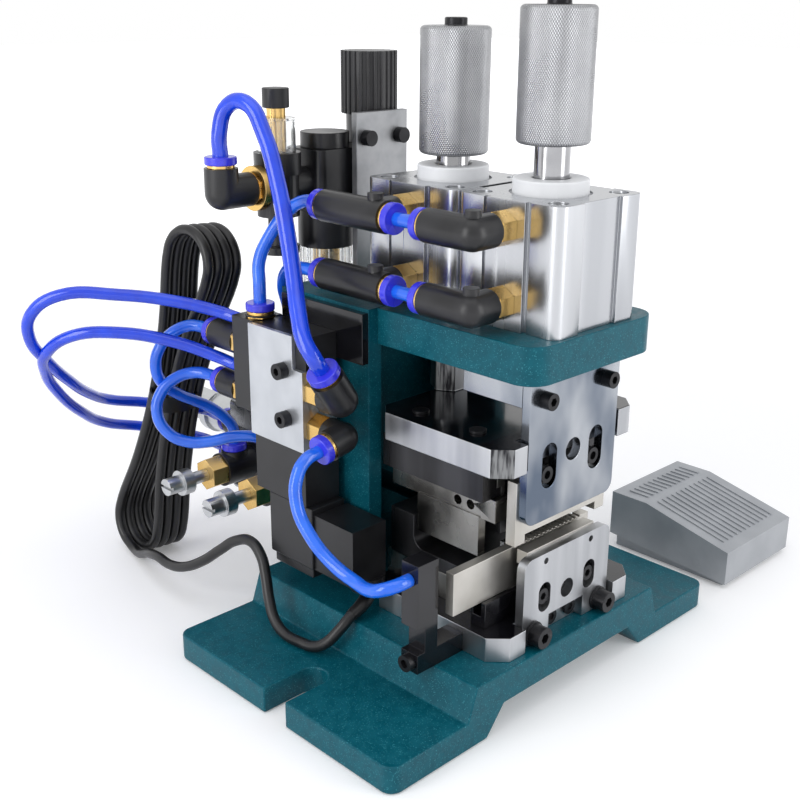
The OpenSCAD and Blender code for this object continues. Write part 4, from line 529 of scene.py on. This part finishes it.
def easeEdges(node, width, material, corner=None, capFrom=None):
    mesh = nodes[node].data.copy()
    mesh.name = node + "Eased"
    form = bmesh.new()
    form.from_mesh(mesh)
    bmesh.ops.remove_doubles(form, verts=form.verts, dist=easeRules["merge"])
    bmesh.ops.dissolve_limit(form, angle_limit=math.radians(easeRules["flat"]), verts=form.verts, edges=form.edges)
    form.to_mesh(mesh)
    form.free()
    mesh.shade_smooth()
    mesh.set_sharp_from_angle(angle=math.radians(easeRules["sharp"]))
    piece = bpy.data.objects.new(node + "Eased", mesh)
    bpy.context.scene.collection.objects.link(piece)
    mesh.materials.clear()
    mesh.materials.append(material)
    if corner:  # blacked top, bright machined sides, cut corners
        mesh.materials.append(finishes["bright_edge"])
        mesh.materials.append(finishes[corner])
        for face in mesh.polygons:
            if abs(face.normal.z) < easeRules["sideTilt"]:
                oblique = min(abs(face.normal.x), abs(face.normal.y)) > easeRules["sideTilt"]
                face.material_index = 2 if oblique else 1
    if capFrom:  # the knob's black top screw
        mesh.materials.append(finishes["black_oxide"])
        for face in mesh.polygons:
            if face.center.z > capFrom:
                face.material_index = 1
    ease = piece.modifiers.new("ease", "BEVEL")
    ease.width = width
    ease.segments = easeRules["segments"]
    ease.limit_method = "ANGLE"
    ease.angle_limit = math.radians(easeRules["bevelFrom"])
    ease.harden_normals = True
    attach(piece, bodyOf[node])
    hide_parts(node)


knobAxes = {"clamp_knob": (-0.0535, -0.1581), "ram_knob": (-0.0535, -0.0845)}
ownFinish = {}
for node, axis in knobAxes.items():
    ownFinish[node] = makeFinish(node + "Alloy", (0.34, 0.345, 0.36), (0.42, 0.425, 0.44), metallic=1,
                                 rough=(0.26, 0.36), bump=0.03)
    addKnurl(ownFinish[node], axis)
for node, finish in (
    ("upper_front_plate", "polished_steel"), ("clamp_block", "polished_steel"), ("lower_front_plate", "bright_edge"),
    ("lower_jaw", "nickel"), ("upper_jaw", "nickel"), ("lower_twist_bar", "nickel"), ("ram_guides", "dark_steel"),
    ("carriage", "dark_steel"), ("upper_blade", "dark_steel"), ("air_unit_bracket", "cast_grey"),
):
    ownFinish[node] = finishes[finish]
easeSet = {
    "base_casting": 0.0012, "column": 0.0008, "arm_plate": 0.0012, "bolster_plate": 0.0005,
    "press_cylinders": 0.0003, "bumper_discs": 0.001, "lower_front_plate": 0.0004, "lower_jaw": 0.0003,
    "jaw_support": 0.0004, "slide_rails": 0.0004, "blow_post": 0.0005, "strip_cylinder": 0.0004,
    "stroke_adjuster": 0.0004, "valve_body": 0.0004, "valve_ends": 0.0005, "valve_coil": 0.001,
    "valve_plug": 0.0012, "valve_bracket": 0.0003, "air_unit_body": 0.0008, "air_unit_guards": 0.0005,
    "air_unit_bracket": 0.0004, "brass_fittings": 0.0003, "elbow_fittings": 0.0006, "release_rings": 0.0008,
    "black_screws": 0.0002, "bright_bolts": 0.0002, "pedal_base": 0.0005, "pedal_treadle": 0.0004,
    "clamp_rod": 0.0005, "clamp_block": 0.0005, "upper_front_plate": 0.0004, "upper_jaw": 0.0003,
    "clamp_screws": 0.0002, "clamp_knob": 0.0008, "ram_rod": 0.0005, "ram_plate": 0.0008, "ram_guides": 0.0004,
    "ram_screws": 0.0002, "ram_knob": 0.0008, "upper_slides": 0.0004, "upper_blade": 0.0002,
    "upper_twist_bar": 0.0003, "carriage": 0.0004, "lower_blade": 0.0002, "lower_twist_bar": 0.0003,
    "regulator_knob": 0.0004, "oil_knob": 0.0005, "speed_screw_rear": 0.0003, "speed_screw_front": 0.0003,
    "power_plug": 0.001,
}
screwTops = {"clamp_knob": 0.3945, "ram_knob": 0.3824}  # heights above which the knobs' screws stand
cutCorners = {"ram_plate": "sawn_corner", "bolster_plate": "bright_edge"}
for node, width in easeSet.items():
    easeEdges(node, width, ownFinish.get(node, finishes[slotOf[node]]), cutCorners.get(node), screwTops.get(node))
print("edges eased")

# cap screws seen in the front plate's slots and at the foot of the blow post
screwSet = {"head": 0.005, "socket": 0.0026, "depth": 0.0042, "sink": 0.0026, "segments": 32}


def capScrew(name, place, way, body):  # a socket-head screw whose head's top is at place
    form = bmesh.new()
    bmesh.ops.create_circle(form, cap_ends=True, segments=screwSet["segments"], radius=screwSet["head"])
    top = form.faces[:]
    rim = bmesh.ops.extrude_face_region(form, geom=top)
    moved = [v for v in rim["geom"] if isinstance(v, bmesh.types.BMVert)]
    bmesh.ops.translate(form, verts=moved, vec=(0, 0, screwSet["depth"]))
    lid = [f for f in rim["geom"] if isinstance(f, bmesh.types.BMFace)]
    bmesh.ops.inset_region(form, faces=lid, thickness=screwSet["head"] - screwSet["socket"])
    well = bmesh.ops.extrude_face_region(form, geom=lid)
    low = [v for v in well["geom"] if isinstance(v, bmesh.types.BMVert)]
    bmesh.ops.delete(form, geom=lid, context="FACES_ONLY")
    bmesh.ops.translate(form, verts=low, vec=(0, 0, -screwSet["sink"]))
    bmesh.ops.recalc_face_normals(form, faces=form.faces)
    turnTo = Vector(way).to_track_quat("Z", "Y").to_matrix().to_4x4()
    bmesh.ops.transform(form, verts=form.verts,
                        matrix=Matrix.Translation(place) @ turnTo @ Matrix.Translation((0, 0, -screwSet["depth"])))
    mesh = bpy.data.meshes.new(name)
    form.to_mesh(mesh)
    form.free()
    piece = bpy.data.objects.new(name, mesh)
    bpy.context.scene.collection.objects.link(piece)
    mesh.materials.append(finishes["black_oxide"])
    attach(piece, body)


plateLow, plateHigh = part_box("upper_front_plate")
postLow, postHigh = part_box("blow_post")
plateSet = {"slotSpread": 0.0213, "screwUp": 0.0272, "inset": 0.0012, "postScrewUp": 0.006, "headOut": 0.004}
plateMiddle = (plateLow[0] + plateHigh[0]) / 2
for name, side in (("slotScrewLeft", -1), ("slotScrewRight", 1)):
    top = (plateMiddle + side * plateSet["slotSpread"], plateLow[1] + plateSet["inset"],
           plateLow[2] + plateSet["screwUp"])
    capScrew(name, top, (0, -1, 0), "clamp")
capScrew("postScrew", (postLow[0] - plateSet["headOut"], (postLow[1] + postHigh[1]) / 2,
                       postLow[2] + plateSet["postScrewUp"]), (-1, 0, 0), "frame")
print("screws set")

# stage: pale floor and soft lamps
stageSet = {"floorSize": 8.0, "floorTone": (0.9, 0.9, 0.9), "glow": 0.16, "farGlow": 0.9, "fadeFrom": 0.5,
            "fadeTo": 2.2, "floorDrop": 0.0005}
floorForm = bmesh.new()
bmesh.ops.create_grid(floorForm, x_segments=1, y_segments=1, size=stageSet["floorSize"])
floorMesh = bpy.data.meshes.new("floor")
floorForm.to_mesh(floorMesh)
floorForm.free()
floor = bpy.data.objects.new("floor", floorMesh)
floor.location = (0, 0, -stageSet["floorDrop"])
bpy.context.scene.collection.objects.link(floor)
floorFinish = makeFinish("paleFloor", stageSet["floorTone"], stageSet["floorTone"], rough=(0.6, 0.7), bump=0)
floorMesh.materials.append(floorFinish)
floorTree = floorFinish.node_tree


def anySight(tree):  # 1 where the camera, a mirror or glass looks at the backdrop
    path = tree.nodes.new("ShaderNodeLightPath")
    total = path.outputs["Is Camera Ray"]
    for other in ("Is Glossy Ray", "Is Transmission Ray"):
        join = tree.nodes.new("ShaderNodeMath")
        join.operation = "MAXIMUM"
        tree.links.new(total, join.inputs[0])
        tree.links.new(path.outputs[other], join.inputs[1])
        total = join.outputs["Value"]
    return total


glow = floorTree.nodes.new("ShaderNodeMath")
glow.operation = "MULTIPLY"
ground = floorTree.nodes.new("ShaderNodeTexCoord")
reach = floorTree.nodes.new("ShaderNodeVectorMath")
reach.operation = "LENGTH"
fade = floorTree.nodes.new("ShaderNodeMapRange")
fade.inputs["From Min"].default_value = stageSet["fadeFrom"]
fade.inputs["From Max"].default_value = stageSet["fadeTo"]
fade.inputs["To Min"].default_value = stageSet["glow"]
fade.inputs["To Max"].default_value = stageSet["farGlow"]
floorTree.links.new(ground.outputs["Object"], reach.inputs[0])
floorTree.links.new(reach.outputs["Value"], fade.inputs["Value"])
floorTree.links.new(fade.outputs["Result"], glow.inputs[1])
floorTree.links.new(anySight(floorTree), glow.inputs[0])
floorTree.links.new(glow.outputs["Value"], floorTree.nodes["Principled BSDF"].inputs["Emission Strength"])
floorTree.nodes["Principled BSDF"].inputs["Emission Color"].default_value = (1, 1, 1, 1)


lightSet = {  # each lamp: place, aim, size, power
    "topLamp": ((-0.3, -0.2, 1.5), (0, 0, 0.1), (1.4, 1.0), 3.5),
    "leftLamp": ((-1.6, 0.1, 0.7), (-0.05, 0, 0.2), (0.8, 1.2), 12),
    "frontLamp": ((0.5, -1.5, 0.6), (0, 0, 0.2), (0.7, 1.1), 8),
}
skySet = {"tone": (0.95, 0.96, 1, 1), "strength": 0.75, "backdrop": 1.0}


def addLamp(name, place, aim, size, power):
    lamp = bpy.data.lights.new(name, "AREA")
    lamp.shape = "RECTANGLE"
    lamp.size, lamp.size_y = size
    lamp.energy = power
    holder = bpy.data.objects.new(name, lamp)
    way = (Vector(aim) - Vector(place)).to_track_quat("-Z", "Y")
    holder.matrix_world = Matrix.Translation(place) @ way.to_matrix().to_4x4()
    bpy.context.scene.collection.objects.link(holder)


for name, values in lightSet.items():
    addLamp(name, *values)
world = bpy.data.worlds.new("studio")
world.use_nodes = True
sky = world.node_tree.nodes["Background"]
sky.inputs["Color"].default_value = skySet["tone"]
sky.inputs["Strength"].default_value = skySet["strength"]
plain = world.node_tree.nodes.new("ShaderNodeBackground")
plain.inputs["Color"].default_value = (1, 1, 1, 1)
plain.inputs["Strength"].default_value = skySet["backdrop"]
choose = world.node_tree.nodes.new("ShaderNodeMixShader")
world.node_tree.links.new(anySight(world.node_tree), choose.inputs["Fac"])
world.node_tree.links.new(sky.outputs["Background"], choose.inputs[1])
world.node_tree.links.new(plain.outputs["Background"], choose.inputs[2])
world.node_tree.links.new(choose.outputs["Shader"], world.node_tree.nodes["World Output"].inputs["Surface"])
bpy.context.scene.world = world
bpy.context.scene.view_settings.view_transform = "Standard"
print("stage set")
